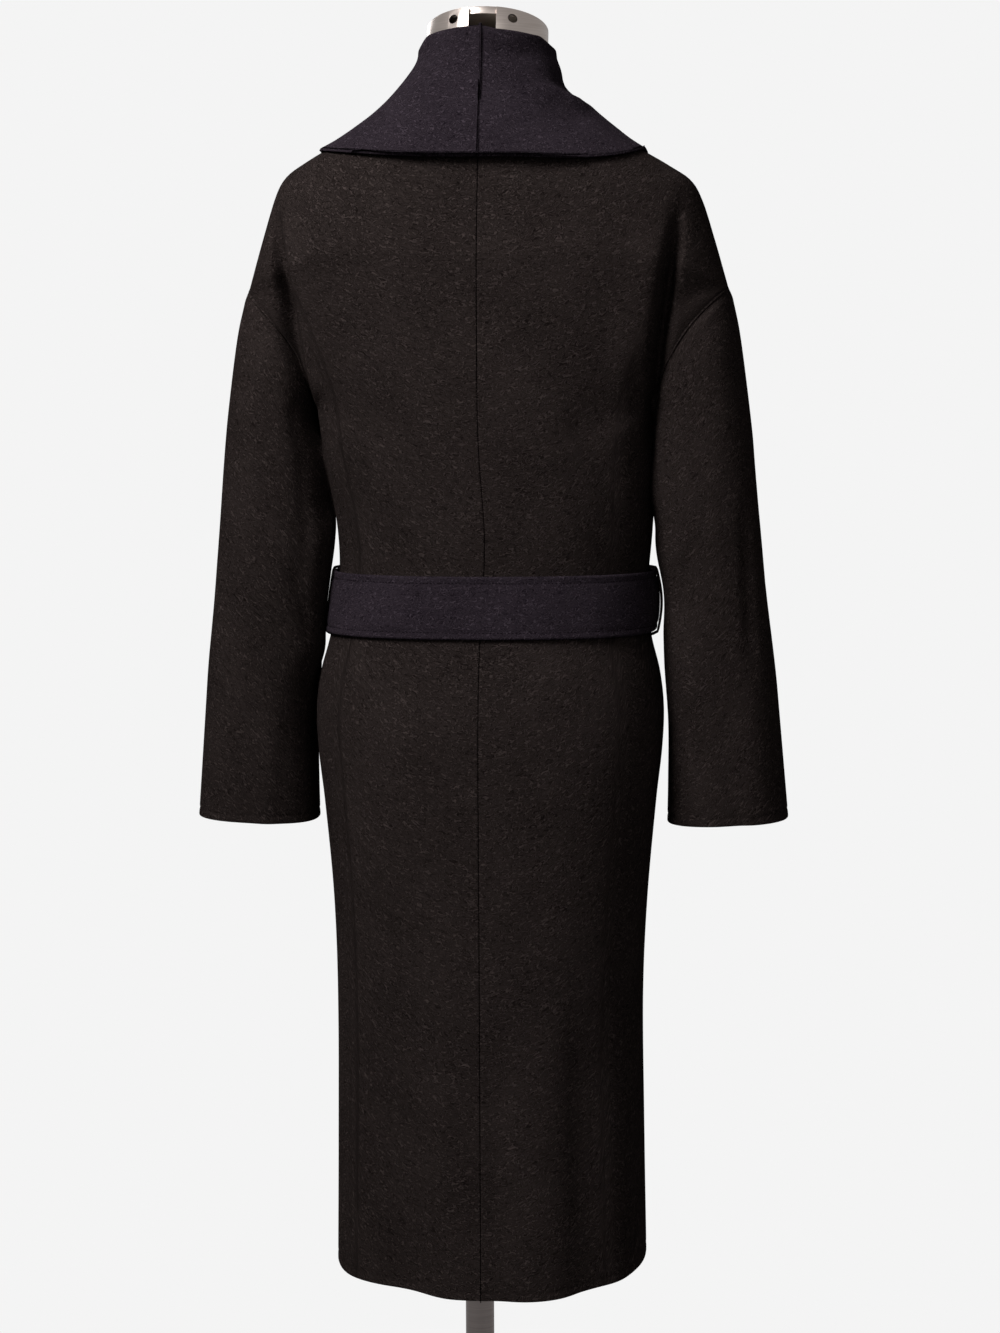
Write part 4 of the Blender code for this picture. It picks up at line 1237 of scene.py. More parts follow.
    def outside(self, half: int) -> Array:
        """Grid of a sleeve's outside, with its creases and its cuff's turned-edge line.

        Args:
            half: 1 on the left, -1 on the right.

        Returns:
            Points, line by line from the armhole to the cuff.
        """
        turns = all_round(self.places)[::half]
        shares = np.linspace(0, 1, self.head_rows, endpoint=False)
        fine = np.linspace(0, len(self.rings) - 1, self.fine_rings)
        length = run_length(self.ring(np.full_like(fine, math.pi / 2), fine, half), 0)
        even = np.linspace(0, length[-1], round(length[-1] / self.spacing))
        at = closer_at_end(np.interp(even, length, fine))
        grid = np.concatenate([
            self.head(*np.broadcast_arrays(turns[None, :], shares[:, None]), half),
            self.ring(turns[None, :], at[:, None], half)])
        grid = self.body.arm_pressed(grid)
        creases = self.left_creases if half > 0 else self.right_creases
        across = ((turns - math.pi / 2 + math.pi) % (2 * math.pi) - math.pi) * self.mean_radius
        depth = press_all(creases, across[None, :], grid[..., 2])
        depth = depth * ease((np.arange(len(grid)) - self.head_rows) / self.crease_rows)[:, None]
        length = run_length(grid, 0)
        return pressed(grid, depth + self.cuff_line.press(length[-1:] - length), tube=True)

    def build(self) -> list[Object]:
        """Make and dress both sleeves.

        Returns:
            The pieces.
        """
        made = []
        for name, half in (("sleeve_left", 1), ("sleeve_right", -1)):
            rims = Rims(self.seam_rim, self.open_rim)
            mesh = cloth_mesh(name, self.outside(half), self.wall, rims, tube=True)
            piece = add_piece(f"{name}_cloth", mesh, WOOL_CREPE, [name])
            made.append(piece)
        return made


class Lapel(NamedTuple):
    """A place on the lapel: row of its roll, row of its edge, and that edge's distance."""

    roll_row: float
    edge_row: float
    edge_x: float


class CollarSection(NamedTuple):
    """What a section of the collar is drawn from."""

    middle: Array
    up: Array
    away: Array
    foot: Array
    settled: float
    under: Callable[[Array], tuple[Array, Array]]
    lift: float


@dataclass
class Collar:
    """Shawl collar: a stand round the neck, a rolled top, and a fall that runs into lapels."""

    body: CoatBody
    wall: float = 0.0026
    half_seam: float = 0.00003
    roll: float = 0.0036
    lapel_roll: float = 0.0042
    roll_x: float = 0.0610
    roll_y: float = 0.0690
    roll_z_back: float = 1.4955
    roll_z_side: float = 1.4880
    stand_inset: float = 0.0045
    lip_set_in: float = 0.0006
    lip_depth: float = 0.0035
    lift_settled: float = 0.0045
    lift_side: float = 0.0040
    lift_back: float = 0.0085
    under_press: float = 0.0016  # the left lapel's end is pressed flat under the right front
    press_rows: Pair = (8.6, 1.4)  # from this roll row on, over so many
    row_step: float = 0.02
    nape_row: float = 2.22
    side_row: float = 2.52
    right_short: float = 0.30  # the right half stops this much of a row higher
    right_bulge: float = 0.25  # and hangs lower between the nape and the shoulder
    lapel_settled: float = 3.2  # roll row where the lapel lies flat on the front
    lapel_spacing: float = 1.35
    fall_start: float = 0.128  # pull of the fall straight down from the roll
    fall_end: float = 0.050  # and along the shoulder at its edge
    back_steps: int = 8  # steps of the solid, which the finer ones lie between
    front_steps: int = 20
    back_places: int = 44
    front_places: int = 110
    stand_lines: int = 7
    roll_lines: int = 11
    fall_lines: int = 30
    seam_rim: float = 0.0010
    edge_rim: float = 0.0042
    cut: Pair = (0.290, 0.760)
    area: float = 0.090
    lapels: tuple[Lapel, ...] = (
        Lapel(0.0, 2.52, 0.1574), Lapel(1.2, 3.25, 0.1555), Lapel(2.6, 4.55, 0.1515),
        Lapel(4.0, 6.00, 0.1430), Lapel(5.5, 7.00, 0.1280), Lapel(6.6, 7.50, 0.1080),
        Lapel(7.4, 8.00, 0.0800), Lapel(8.3, 8.90, 0.0400), Lapel(9.2, 9.70, -0.0100),
        Lapel(10.1, 10.40, -0.0500), Lapel(10.9, 11.00, -0.0830),
    )
    # Soft creases of the fall, across and up as seen from behind.
    creases: tuple[Crease, ...] = (
        Crease((-0.004, 1.486), (-0.056, 1.47), 0.0042, 0.009, bow=0.002),
        Crease((-0.058, 1.462), (-0.112, 1.434), 0.0075, 0.008),
        Crease((-0.044, 1.448), (-0.104, 1.424), -0.005, 0.006, steep=0.8),
        Crease((-0.052, 1.434), (-0.106, 1.41), 0.004, 0.009),
        Crease((-0.02, 1.412), (-0.11, 1.398), 0.0014, 0.01),
        Crease((0.07, 1.44), (0.12, 1.408), 0.0018, 0.009),
        Crease((0.02, 1.42), (0.08, 1.395), -0.0012, 0.01),
        Crease((-0.12, 1.414), (-0.172, 1.38), 0.0008, 0.014),
        Crease((0.108, 1.424), (0.156, 1.388), 0.0008, 0.018),
    )
    # The turned edge stands up a little and is thicker, but lies flatter on the shoulders.
    edge_ridge: float = 0.0010
    edge_low: float = 0.0
    edge_swell: float = 0.0026
    swell_low: float = 0.0003
    edge_reach: float = 0.012
    edge_side: Pair = (0.055, 0.05)
    # The rolled top rounds off towards the sides of the neck, and sags on the right.
    droop: float = 0.0075
    droop_from: float = 0.050
    droop_reach: float = 0.0146
    sag: float = 0.0024
    sag_rises: float = 0.016
    sag_ends: Pair = (0.044, 0.020)
    droop_depth: float = 0.022
    droop_floor: float = 1.440
    floor_fade: float = 0.03
    # Creases set in over some lines below the roll, and both they and the edge fade to the front.
    crease_lines: int = 4
    crease_front: Pair = (0.05, 0.06)
    edge_front: Pair = (0.03, 0.03)

    def back_section(self, step: float, half: int) -> CollarSection:
        """Section between the nape and the shoulder.

        Args:
            step: Step of the solid, from 0 at the nape.
            half: 1 on the left, -1 on the right.

        Returns:
            What the section is drawn from.
        """
        turn = math.pi / 4 * (1 - math.cos(math.pi * step / self.back_steps))
        radial = np.array((half * math.sin(turn), math.cos(turn), 0.0))
        side = math.sin(turn)**2
        middle = np.array((half * self.roll_x * math.sin(turn), self.roll_y * math.cos(turn),
                           mix(self.roll_z_back, self.roll_z_side, side)))
        foot = self.body.back(np.array(0.0), np.array(turn), half) - radial * self.stand_inset
        side_row = self.side_row - (self.right_short if half < 0 else 0)
        edge_row = mix(self.nape_row, side_row, side)
        if half < 0:
            edge_row += self.right_bulge * math.sin(2 * turn)**2

        def under(share: Array) -> tuple[Array, Array]:
            """Point and normal of the back below the fall."""
            row, turns = edge_row * share, np.full_like(share, turn)
            return (self.body.back(row, turns, half),
                    self.body.normal(self.body.back, row, turns, half))

        lift = mix(self.lift_side, self.lift_back, 1 - side)
        return CollarSection(middle, np.array((0.0, 0.0, 1.0)), radial, foot, 0.0, under, lift)

    def front_section(self, step: float, half: int) -> CollarSection:
        """Section from the shoulder down the front, where the fall settles into a lapel.

        Args:
            step: Step of the solid, counted from the shoulder.
            half: 1 on the left, -1 on the right.

        Returns:
            What the section is drawn from.
        """
        body = self.body
        along = np.array((step / self.front_steps)**self.lapel_spacing * (len(self.lapels) - 1))
        roll_row, edge_row, edge_x = (smooth(column, along) for column in zip(*self.lapels))
        settled = float(ease(roll_row / self.lapel_settled))
        if half < 0:
            ends = body.seam_end(self.side_row - np.array((self.right_short, 0)))[0]
            edge_row = edge_row - self.right_short * (1 - settled)
            edge_x = edge_x * mix(ends[0] / ends[1], 1, settled)
        roll_turn, far_turn = body.edge_turn(roll_row), body.front_turn(edge_row, edge_x)

        def under(share: Array) -> tuple[Array, Array]:
            """Point and normal of the front below the lapel."""
            row, turns = mix(roll_row, edge_row, share), mix(roll_turn, far_turn, share)
            return body.front(row, turns, half), body.normal(body.front, row, turns, half)

        seam, out = (value[0] for value in under(np.zeros(1)))
        lower_row = roll_row + self.row_step
        lower = body.front(lower_row, body.edge_turn(lower_row), half)
        inward = unit(np.cross(out, lower - seam))
        if inward[0] * half < 0:
            inward = -inward
        bend = math.pi / 2 + math.pi / 3 * settled
        radial = np.array((half * math.sin(bend), math.cos(bend), 0.0))
        neck = np.array((half * self.roll_x * math.sin(bend), self.roll_y * math.cos(bend),
                         self.roll_z_side))
        up = unit(np.array((0.0, 0.0, 1.0)) * (1 - settled) - inward * settled)
        away = mix(radial, out, settled)
        away = unit(away - up * np.dot(away, up))
        lip = seam + inward * self.lip_set_in + out * (self.lift_settled - self.lapel_roll)
        middle = mix(neck, lip, settled)
        lip_end = middle + up * self.lapel_roll - away * self.lip_depth
        foot = mix(seam - radial * self.stand_inset, lip_end, settled)
        lift = mix(self.lift_side, self.lift_settled, settled)
        if half > 0:
            lift = lift - self.under_press * ease((roll_row - self.press_rows[0]) / self.press_rows[1])
        return CollarSection(middle, up, away, foot, settled, under, lift)

    def section(self, step: float, half: int) -> Array:
        """One section of the collar's outside, from the stand's foot over the roll to the edge.

        Args:
            step: Step of the solid, from 0 at the nape.
            half: 1 on the left, -1 on the right.

        Returns:
            Its points.
        """
        if step <= self.back_steps:
            cut = self.back_section(step, half)
        else:
            cut = self.front_section(step - self.back_steps, half)
        first = math.pi * (1 - cut.settled / 2)
        radius = mix(self.roll, self.lapel_roll, cut.settled)
        angles = first * (1 - np.linspace(0, 1, self.roll_lines))[:, None]
        roll = cut.middle + (cut.away * np.cos(angles) + cut.up * np.sin(angles)) * radius
        stand = mix(cut.foot, roll[0], np.linspace(0, 1, self.stand_lines, endpoint=False)[:, None])
        share = np.linspace(0, 1, self.fall_lines + 1)[1:]
        below, out = cut.under(share)
        ends = cut.under(np.array((0.9, 1.0)))[0]
        edge, arrive = below[-1] + out[-1] * cut.lift, unit(ends[1] - ends[0])
        fall = hermite(roll[-1], -cut.up * self.fall_start, edge, arrive * self.fall_end, share[:, None])
        fall = mix(fall, below + out * cut.lift, cut.settled)
        short = cut.lift - dot(fall - below, out)
        return np.concatenate([stand, roll, fall + out * np.maximum(short, 0)])

    def outside(self, half: int) -> Array:
        """Grid of one half's outside, with its creases and its pressed edge.

        Args:
            half: 1 on the left, -1 on the right.

        Returns:
            Points, line by line from the stand's foot to the edge.
        """
        steps = np.concatenate([
            np.linspace(0, self.back_steps, self.back_places, endpoint=False),
            self.back_steps + np.linspace(0, self.front_steps, self.front_places + 1)])
        if half > 0:
            steps = steps[::-1]
        grid = np.stack([self.section(step, half) for step in steps], axis=1)
        down = grid[self.stand_lines + self.roll_lines // 2, :, 2] - grid[..., 2]
        right = -grid[..., 0]
        low = self.droop * ease((np.abs(right) - self.droop_from) / self.droop_reach)
        ends = ease((right - self.sag_ends[0]) / self.sag_ends[1])
        low = low + self.sag * ease(right / self.sag_rises) * (1 - ends)
        low = low * ease((grid[..., 2] - self.droop_floor) / self.floor_fade)
        grid[..., 2] -= low * np.exp(-(down / self.droop_depth)**2)
        depth = press_all(self.creases, grid[..., 0], grid[..., 2])
        start = self.stand_lines + self.roll_lines
        line = ease((np.arange(len(grid)) - start) / self.crease_lines)[:, None]
        depth = depth * line * ease((grid[..., 1] + self.crease_front[0]) / self.crease_front[1])
        depth = depth - self.at_edge(grid, self.edge_ridge, self.edge_low)
        return pressed(grid, depth) + (half * self.half_seam, 0, 0)

    def at_edge(self, grid: Array, back: float, side: float) -> Array:
        """Amount that fades away from the edge and towards the front.

        Args:
            grid: Points of the outside.
            back: Its size across the back.
            side: Its size on the shoulders.

        Returns:
            The amount at each point.
        """
        length = run_length(grid, 0)
        across, behind = np.abs(grid[-1:, :, 0]), grid[-1:, :, 1]
        size = mix(back, side, ease((across - self.edge_side[0]) / self.edge_side[1]))
        size = size * ease((behind + self.edge_front[0]) / self.edge_front[1])
        return size * np.exp(-((length[-1:] - length) / self.edge_reach)**2)

    def build(self) -> list[Object]:
        """Make and dress both halves.

        Returns:
            The pieces.
        """
        made = []
        for name, half in (("collar_left", 1), ("collar_right", -1)):
            rims = Rims(self.seam_rim, self.edge_rim, self.seam_rim, self.seam_rim)
            mesh = cloth_mesh(name, self.outside(half), self.wall, rims, from_last=half > 0,
                              swell=lambda grid: self.at_edge(grid, self.edge_swell, self.swell_low))
            piece = add_piece(f"{name}_cloth", mesh, FELTED_WOOL, [name])
            made.append(piece)
        return made


CAP_UV = 0.02  # how far the UV map of a closed end reaches past its ring


def solid_mesh(name: str, grid: Array) -> Mesh:
    """Make a closed body from rings of points, with a fan over each end.

    Args:
        name: Name of the mesh.
        grid: Rings from top to bottom, running to the right as seen from outside.

    Returns:
        A mesh with a UV map in metres.
    """
    lines, places = grid.shape[:2]
    index = np.arange(lines * places).reshape(lines, places)
    index = np.concatenate([index, index[:, :1]], axis=1)
    wide = np.concatenate([grid, grid[:, :1]], axis=1)
    u, v = run_length(wide, 1), -run_length(wide, 0)
    verts = grid.reshape(-1, 3).tolist() + [grid[k].mean(axis=0).tolist() for k in (0, -1)]
    top, bottom = len(verts) - 2, len(verts) - 1
    faces, corners = [], []
    for i in range(lines - 1):
        for j in range(places):
            ring = ((i, j), (i + 1, j), (i + 1, j + 1), (i, j + 1))
            faces.append([int(index[place]) for place in ring])
            corners.extend((u[place], v[place]) for place in ring)
    for j in range(places):
        faces.append([top, int(index[0, j]), int(index[0, j + 1])])
        faces.append([bottom, int(index[-1, j + 1]), int(index[-1, j])])
        corners.extend(((u[0, j], CAP_UV), (u[0, j], 0.0), (u[0, j + 1], 0.0)))
        low = v[-1, j]
        corners.extend(((u[-1, j], low - CAP_UV), (u[-1, j + 1], low), (u[-1, j], low)))
    return uv_mesh(name, verts, faces, np.array(corners))


@dataclass(frozen=True)
class Stitching:
    """Small hand stitches along a seam, repeated by a node tree."""

    spacing: float = 0.0045
    length: float = 0.0024
    radius: float = 0.00032  # thicker than real thread, so that stitches show
    uneven: Pair = (0.40, 0.58)  # half length of a stitch, as a share of the whole
    sphere: tuple[int, int] = (6, 5)
    seed: int = 7
    names: tuple[str, str, str] = ("Spacing", "Stitch length", "Thread radius")

    def tree(self, material: Material) -> NodeTree:
        """Build the node tree: a rounded stitch on each point of an evenly cut path.

        Args:
            material: The thread's material.

        Returns:
            The tree, with named inputs for its sizes.
        """
        tree = bpy.data.node_groups.new("stitches", "GeometryNodeTree")
        tree.interface.new_socket("Geometry", in_out="INPUT", socket_type="NodeSocketGeometry")
        for name in self.names:
            tree.interface.new_socket(name, in_out="INPUT", socket_type="NodeSocketFloat")
        tree.interface.new_socket("Geometry", in_out="OUTPUT", socket_type="NodeSocketGeometry")
        given = add_node(tree, "NodeGroupInput").outputs
        path = add_node(tree, "GeometryNodeMeshToCurve", {}, {"Mesh": given["Geometry"]})
        cut = add_node(tree, "GeometryNodeResampleCurve", {"mode": "LENGTH"}, {
            "Curve": path.outputs[0], "Length": given[self.names[0]]})
        way = add_node(tree, "GeometryNodeInputTangent").outputs[0]
        turn = add_node(tree, "FunctionNodeAlignRotationToVector", {"axis": "Z"}, {"Vector": way})
        uneven = add_node(tree, "FunctionNodeRandomValue", {"data_type": "FLOAT"}, {
            2: self.uneven[0], 3: self.uneven[1], "Seed": self.seed}).outputs[1]
        half = add_node(tree, "ShaderNodeMath", {"operation": "MULTIPLY"}, {
            0: given[self.names[1]], 1: uneven}).outputs[0]
        size = add_node(tree, "ShaderNodeCombineXYZ", {}, {
            0: given[self.names[2]], 1: given[self.names[2]], 2: half}).outputs[0]
        stitch = add_node(tree, "GeometryNodeMeshUVSphere", {}, {
            "Segments": self.sphere[0], "Rings": self.sphere[1]})
        sewn = add_node(tree, "GeometryNodeInstanceOnPoints", {}, {
            "Points": cut.outputs[0], "Instance": stitch.outputs[0],
            "Rotation": turn.outputs[0], "Scale": size})
        real = add_node(tree, "GeometryNodeRealizeInstances", {}, {0: sewn.outputs[0]})
        dressed = add_node(tree, "GeometryNodeSetMaterial", {}, {
            "Geometry": real.outputs[0], "Material": material})
        add_node(tree, "NodeGroupOutput", {}, {0: dressed.outputs[0]})
        return tree

    def sew(self, name: str, paths: Sequence[Array], finish: SewingThread,
            slot: str) -> Object:
        """Sew along paths and add the stitches as one piece.

        Args:
            name: Name of the piece.
            paths: Each path's points, in the coat's own middle.
            finish: The thread.
            slot: Not used.

        Returns:
            The piece.
        """
        verts, edges = [], []
        for path in paths:
            first = len(verts)
            verts += path.tolist()
            edges += [(first + k, first + k + 1) for k in range(len(path) - 1)]
        guide_mesh = bpy.data.meshes.new(f"{name}_path")
        guide_mesh.from_pydata(verts, edges, [])
        guide = placed(f"{name}_path", guide_mesh)
        tree = self.tree(material_of(finish))
        modifier = guide.modifiers.new("stitches", "NODES")
        modifier.node_group = tree
        sizes = dict(zip(self.names, (self.spacing, self.length, self.radius)))
        for socket in tree.interface.items_tree:
            if socket.in_out == "INPUT" and socket.name in sizes:
                modifier[socket.identifier] = sizes[socket.name]
        graph = bpy.context.evaluated_depsgraph_get()
        mesh = bpy.data.meshes.new_from_object(guide.evaluated_get(graph))
        guide.modifiers.clear()
        bpy.data.objects.remove(guide, do_unlink=True)
        mesh.shade_smooth()
        return add_piece(name, mesh, finish)


def sunk(path: Array, depth: float) -> Array:
    """A path down the middle of the back, let into the cloth.

    Args:
        path: Its points, from the top down.
        depth: How far it sinks.

    Returns:
        The sunk points.
    """
    way = unit(np.gradient(path, axis=0))
    return path - points(0 * way[:, 0], -way[:, 2], way[:, 1]) * depth


def line_from_edge(grid: Array, distance: float, close: bool = False) -> Array:
    """Line on a grid's outside at a distance from its last line.

    Args:
        grid: Points, line by line.
        distance: How far from the last line.
        close: Whether the line ends where it starts, as round a tube.

    Returns:
        The line's points.
    """
    length = run_length(grid, 0)
    line = []
    for j in range(grid.shape[1]):
        goal = length[-1, j] - distance
        line.append([np.interp(goal, length[:, j], grid[:, j, k]) for k in range(3)])
    return np.array(line + line[:1] if close else line)


class Tail(NamedTuple):
    """A hanging end of the belt: how it leans, and how far it lies off the front."""

    name: str
    shift_top: float
    shift_low: float
    lift: float


@dataclass
class Belt:
    """Tie belt round the waist, its carriers at the side seams, its knot and its hanging ends."""

    body: CoatBody
    wall: float = 0.0036
    top: float = 0.9975
    bottom: float = 0.9395
    seat: float = 0.0005
    half_seam: float = 0.00025
    side_off: Pair = (0.0022, 0.0018)  # at the top and at the bottom edge
    places: int = 300
    lines: int = 26
    edge_rim: float = 0.0019
    edge_line: EdgeLine = EdgeLine(0.0065, 0.0009, 0.0016)  # row of edge stitches
    edge_stitches: Stitching = Stitching(spacing=0.0034, length=0.0022, radius=0.0003)
    wave_reach: float = 0.06  # slack waves set in this far behind and before the sides
    full_power: float = 0.7
    right_full: float = 0.0042  # the band bulges under its right carrier
    right_full_reach: float = 0.035
    band_cut: Pair = (0.058, 0.890)
    loop_wall: float = 0.0022
    loop_width: float = 0.012
    loop_top: float = 0.9995
    loop_bottom: float = 0.9360
    loop_bows: Pair = (0.0008, 0.0047)  # how far each carrier stands off the belt
    loop_sewn_in: float = 0.0025  # its ends go into the side seam
    loop_cut: Pair = (0.012, 0.084)
    loop_lines: int = 40
    loop_places: int = 8
    knot_size: Triple = (0.062, 0.026, 0.054)
    knot_x: float = 0.018
    knot_gap: float = 0.0003
    knot_square: float = 3.2
    knot_lines: int = 48
    knot_places: int = 96
    knot_face: float = 0.4  # turns of cloth reach this far round its sides
    knot_fill: float = 0.8
    tail_lines: int = 100
    tail_places: int = 24
    tail_from: float = 0.25  # a tail leaves this far behind the knot's middle, as a share
    tail_length: float = 0.40
    tail_width_top: float = 0.040
    tail_width: float = 0.056
    tail_opens: float = 5
    tail_settles: float = 6
    tail_cut: Pair = (0.058, 0.405)
    tails: tuple[Tail, ...] = (
        Tail("belt_tail_under", -0.006, 0.030, 0.0040),
        Tail("belt_tail_over", 0.006, -0.022, 0.0086),
    )
    # Slack waves of the band, across and up: on the back, and on the front.
    back_waves: tuple[Crease, ...] = (
        Crease((0.11, 0.982), (-0.02, 0.972), 0.0007, 0.006, fades=(0.5, 0.5)),
        Crease((0.02, 0.955), (-0.105, 0.95), 0.0008, 0.007, fades=(0.5, 0.5)),
        Crease((-0.06, 0.984), (-0.13, 0.96), -0.0006, 0.008, fades=(0.5, 0.5)),
        Crease((0.125, 0.96), (0.05, 0.948), -0.0006, 0.007, fades=(0.5, 0.5)),
    )
    front_waves: tuple[Crease, ...] = (
        Crease((0.045, 0.97), (0.125, 0.978), 0.001, 0.006, fades=(0.1, 0.6)),
        Crease((0.048, 0.957), (0.11, 0.95), 0.0009, 0.006, fades=(0.1, 0.6)),
        Crease((-0.012, 0.972), (-0.105, 0.978), 0.001, 0.006, fades=(0.1, 0.6)),
        Crease((-0.014, 0.956), (-0.09, 0.95), 0.0009, 0.006, fades=(0.1, 0.6)),
    )
    # Turns of cloth in the knot's face, and gathers at the top of a tail.
    knot_turns: tuple[Crease, ...] = (
        Crease((-0.022, 0.022), (0.02, -0.026), 0.0042, 0.0042, bow=0.004, fades=(0.12, 0.2)),
        Crease((-0.03, 0.006), (0.004, -0.028), 0.003, 0.0036, bow=0.003, fades=(0.2, 0.2)),
        Crease((0.0, 0.027), (0.03, -0.008), 0.0028, 0.0036, bow=-0.003, fades=(0.2, 0.2)),
        Crease((0.016, 0.027), (0.031, 0.01), 0.0018, 0.003, fades=(0.2, 0.2)),
    )
    gathers: tuple[Crease, ...] = (
        Crease((-0.009, 0.0), (-0.014, -0.15), 0.0022, 0.005, fades=(0, 0.7)),
        Crease((0.008, 0.0), (0.013, -0.12), 0.002, 0.0045, fades=(0, 0.7)),
        Crease((0.0, -0.18), (0.006, -0.36), -0.0012, 0.011, fades=(0.5, 0.5)),
    )
    paths: list[Array] = field(default_factory=list)

    def ring(self, z: Array, turn: Array) -> Array:
        """Points of the band's inside, seated on the coat.

        Args:
            z: Heights.
            turn: 0 at the centre back, pi / 2 on the wearer's left.

        Returns:
            The points.
        """
        ends = []
        for edge_z, side_off in zip((self.top, self.bottom), self.side_off):
            at = self.body.row_at(edge_z)
            off = mix(self.seat, side_off, np.sin(turn)**2)
            back = np.cos(turn) >= 0
            depth = np.where(back, self.body.column("y_back", at), self.body.column("y_front", at))
            x = (self.body.seam_end(at)[0] + off) * rounded(math.pi / 2 - turn, SQUARE)
            y = np.where(back, 1, -1) * (depth + off + self.half_seam) * np.abs(rounded(turn, SQUARE))
            ends.append(points(x + self.body.lean(edge_z), y, edge_z))
        return mix(ends[0], ends[1], ((self.top - z) / (self.top - self.bottom))[..., None])

    def build_band(self) -> Object:
        """Make the band, with its edge lines and slack waves.

        Returns:
            The piece.
        """
        turns = all_round(self.places)[::-1]
        heights = np.linspace(self.top, self.bottom, self.lines + 1)
        inside = self.ring(*np.broadcast_arrays(heights[:, None], turns[None, :]))
        grid = inside + grid_normals(inside, tube=True) * self.wall
        near = np.minimum(self.top - heights, heights - self.bottom)
        depth = np.repeat(self.edge_line.press(near)[:, None], self.places, axis=1)
        for waves, side in ((self.back_waves, 1), (self.front_waves, -1)):
            faces = ease(side * grid[..., 1] / self.wave_reach)
            depth = depth + faces * press_all(waves, grid[..., 0], grid[..., 2])
        share = np.sin(math.pi * np.linspace(0, 1, self.lines + 1))[:, None]**self.full_power
        beside = np.exp(-(grid[..., 1] / self.right_full_reach)**2) * (grid[..., 0] < 0)
        grid = pressed(grid, depth - self.right_full * share * beside, tube=True)
        self.paths.append(line_from_edge(grid, self.edge_line.at, close=True))
        self.paths.append(line_from_edge(grid[::-1], self.edge_line.at, close=True))
        mesh = cloth_mesh("belt_band", grid, self.wall, Rims(self.edge_rim, self.edge_rim), tube=True)
        return add_piece("belt_band_cloth", mesh, FELTED_WOOL, ["belt_band"])

    def build_carriers(self) -> list[Object]:
        """Make a narrow strip over the belt at each side seam.

        Returns:
            The two pieces.
        """
        share = np.linspace(0, 1, self.loop_lines + 1)
        heights = mix(self.loop_top, self.loop_bottom, share)
        knees = np.array([self.loop_top, self.top + 2 * self.seat, self.bottom - 2 * self.seat,
                          self.loop_bottom])
        made = []
        for name, half, bow in zip(("belt_loop_left", "belt_loop_right"), (1, -1), self.loop_bows):
            ends = self.body.seam_end(self.body.row_at(knees))[0] + half * self.body.lean(knees)
            beside = np.full_like(knees, half * math.pi / 2)
            over = half * self.ring(np.clip(knees, self.bottom, self.top), beside)[:, 0]
            stops = np.where([True, False, False, True], ends - self.loop_sewn_in, over + self.wall)
            reach = np.interp(-heights, -knees, stops)
            x = reach + bow * np.sin(math.pi * share)
            y = np.linspace(-0.5, 0.5, self.loop_places + 1)[::half] * self.loop_width
            inside = points(half * x[:, None], y[None, :], heights[:, None])
            grid = inside + grid_normals(inside) * self.loop_wall
            rim = self.loop_wall / 2
            mesh = cloth_mesh(name, grid, self.loop_wall, Rims(rim, rim, rim, rim))
            piece = add_piece(f"{name}_cloth", mesh, WOOL_CREPE, [name])
            made.append(piece)
        return made

    def knot_middle(self) -> Array:
        """Middle of the knot, which lies on the band."""
        front = self.ring(np.array(self.bottom), np.array(math.pi))[1] - self.wall - self.knot_gap
        return np.array((self.knot_x, front - self.knot_size[1] / 2, (self.top + self.bottom) / 2))

    def build_knot(self) -> Object:
        """Make the soft knot, with the turns of cloth in its face.

        Returns:
            The piece.
        """
        half, square = np.array(self.knot_size) / 2, self.knot_square
        dip = np.linspace(0, math.pi, self.knot_lines + 1)[1:-1, None]
        turn = all_round(self.knot_places)[None, ::-1]
        flat = rounded(dip - math.pi / 2, square)
        grid = points(flat * rounded(turn, square), flat * rounded(turn - math.pi / 2, square),
                      rounded(dip, square)) * half
        depth = press_all(self.knot_turns, grid[..., 0], grid[..., 2])
        faces = ease(-grid[..., 1] / half[1] + self.knot_face)
        grid = pressed(grid, depth * faces, tube=True) + self.knot_middle()
        mesh = solid_mesh("belt_knot", grid)
        return add_piece("belt_knot_cloth", mesh, FELTED_WOOL, ["belt_knot"])

    def build_tail(self, tail: Tail) -> Object:
        """Make one hanging end, gathered under the knot.

        Args:
            tail: Which one, and how it hangs.

        Returns:
            The piece.
        """
        knot_y, knot_z = self.knot_middle()[1:]
        top_z = knot_z - self.knot_size[2] / 2 - self.knot_gap
        share = np.linspace(0, 1, self.tail_lines + 1)[:, None]
        across = np.linspace(-0.5, 0.5, self.tail_places + 1)[None, :]
        z = top_z - self.tail_length * share + 0 * across
        width = mix(self.tail_width_top, self.tail_width, ease(share * self.tail_opens))
        x = self.knot_x + mix(tail.shift_top, tail.shift_low, share) + across * width
        at = self.body.row_at(z)
        turn = self.body.front_turn(at, -x)
        lies = self.body.front(at, turn, -1)
        lies = lies + self.body.normal(self.body.front, at, turn, -1) * tail.lift
        hangs = knot_y + self.knot_size[1] * self.tail_from - tail.lift
        inside = points(x, mix(hangs, lies[..., 1], ease(share * self.tail_settles)), z)
        grid = inside + grid_normals(inside) * self.wall
        depth = press_all(self.gathers, across * width, z - top_z)
        grid = pressed(grid, depth * (1 - (2 * across)**4))
        sides = grid[5:-3].swapaxes(0, 1)
        edge = line_from_edge(grid[:, 3:-2], self.edge_line.at)
        self.paths += [line_from_edge(sides, self.edge_line.at), edge,
                       line_from_edge(sides[::-1], self.edge_line.at)]
        rims = Rims(self.edge_rim, self.edge_rim, self.edge_rim, self.edge_rim)
        mesh = cloth_mesh(tail.name, grid, self.wall, rims)
        piece = add_piece(f"{tail.name}_cloth", mesh, FELTED_WOOL, [tail.name])
        return piece

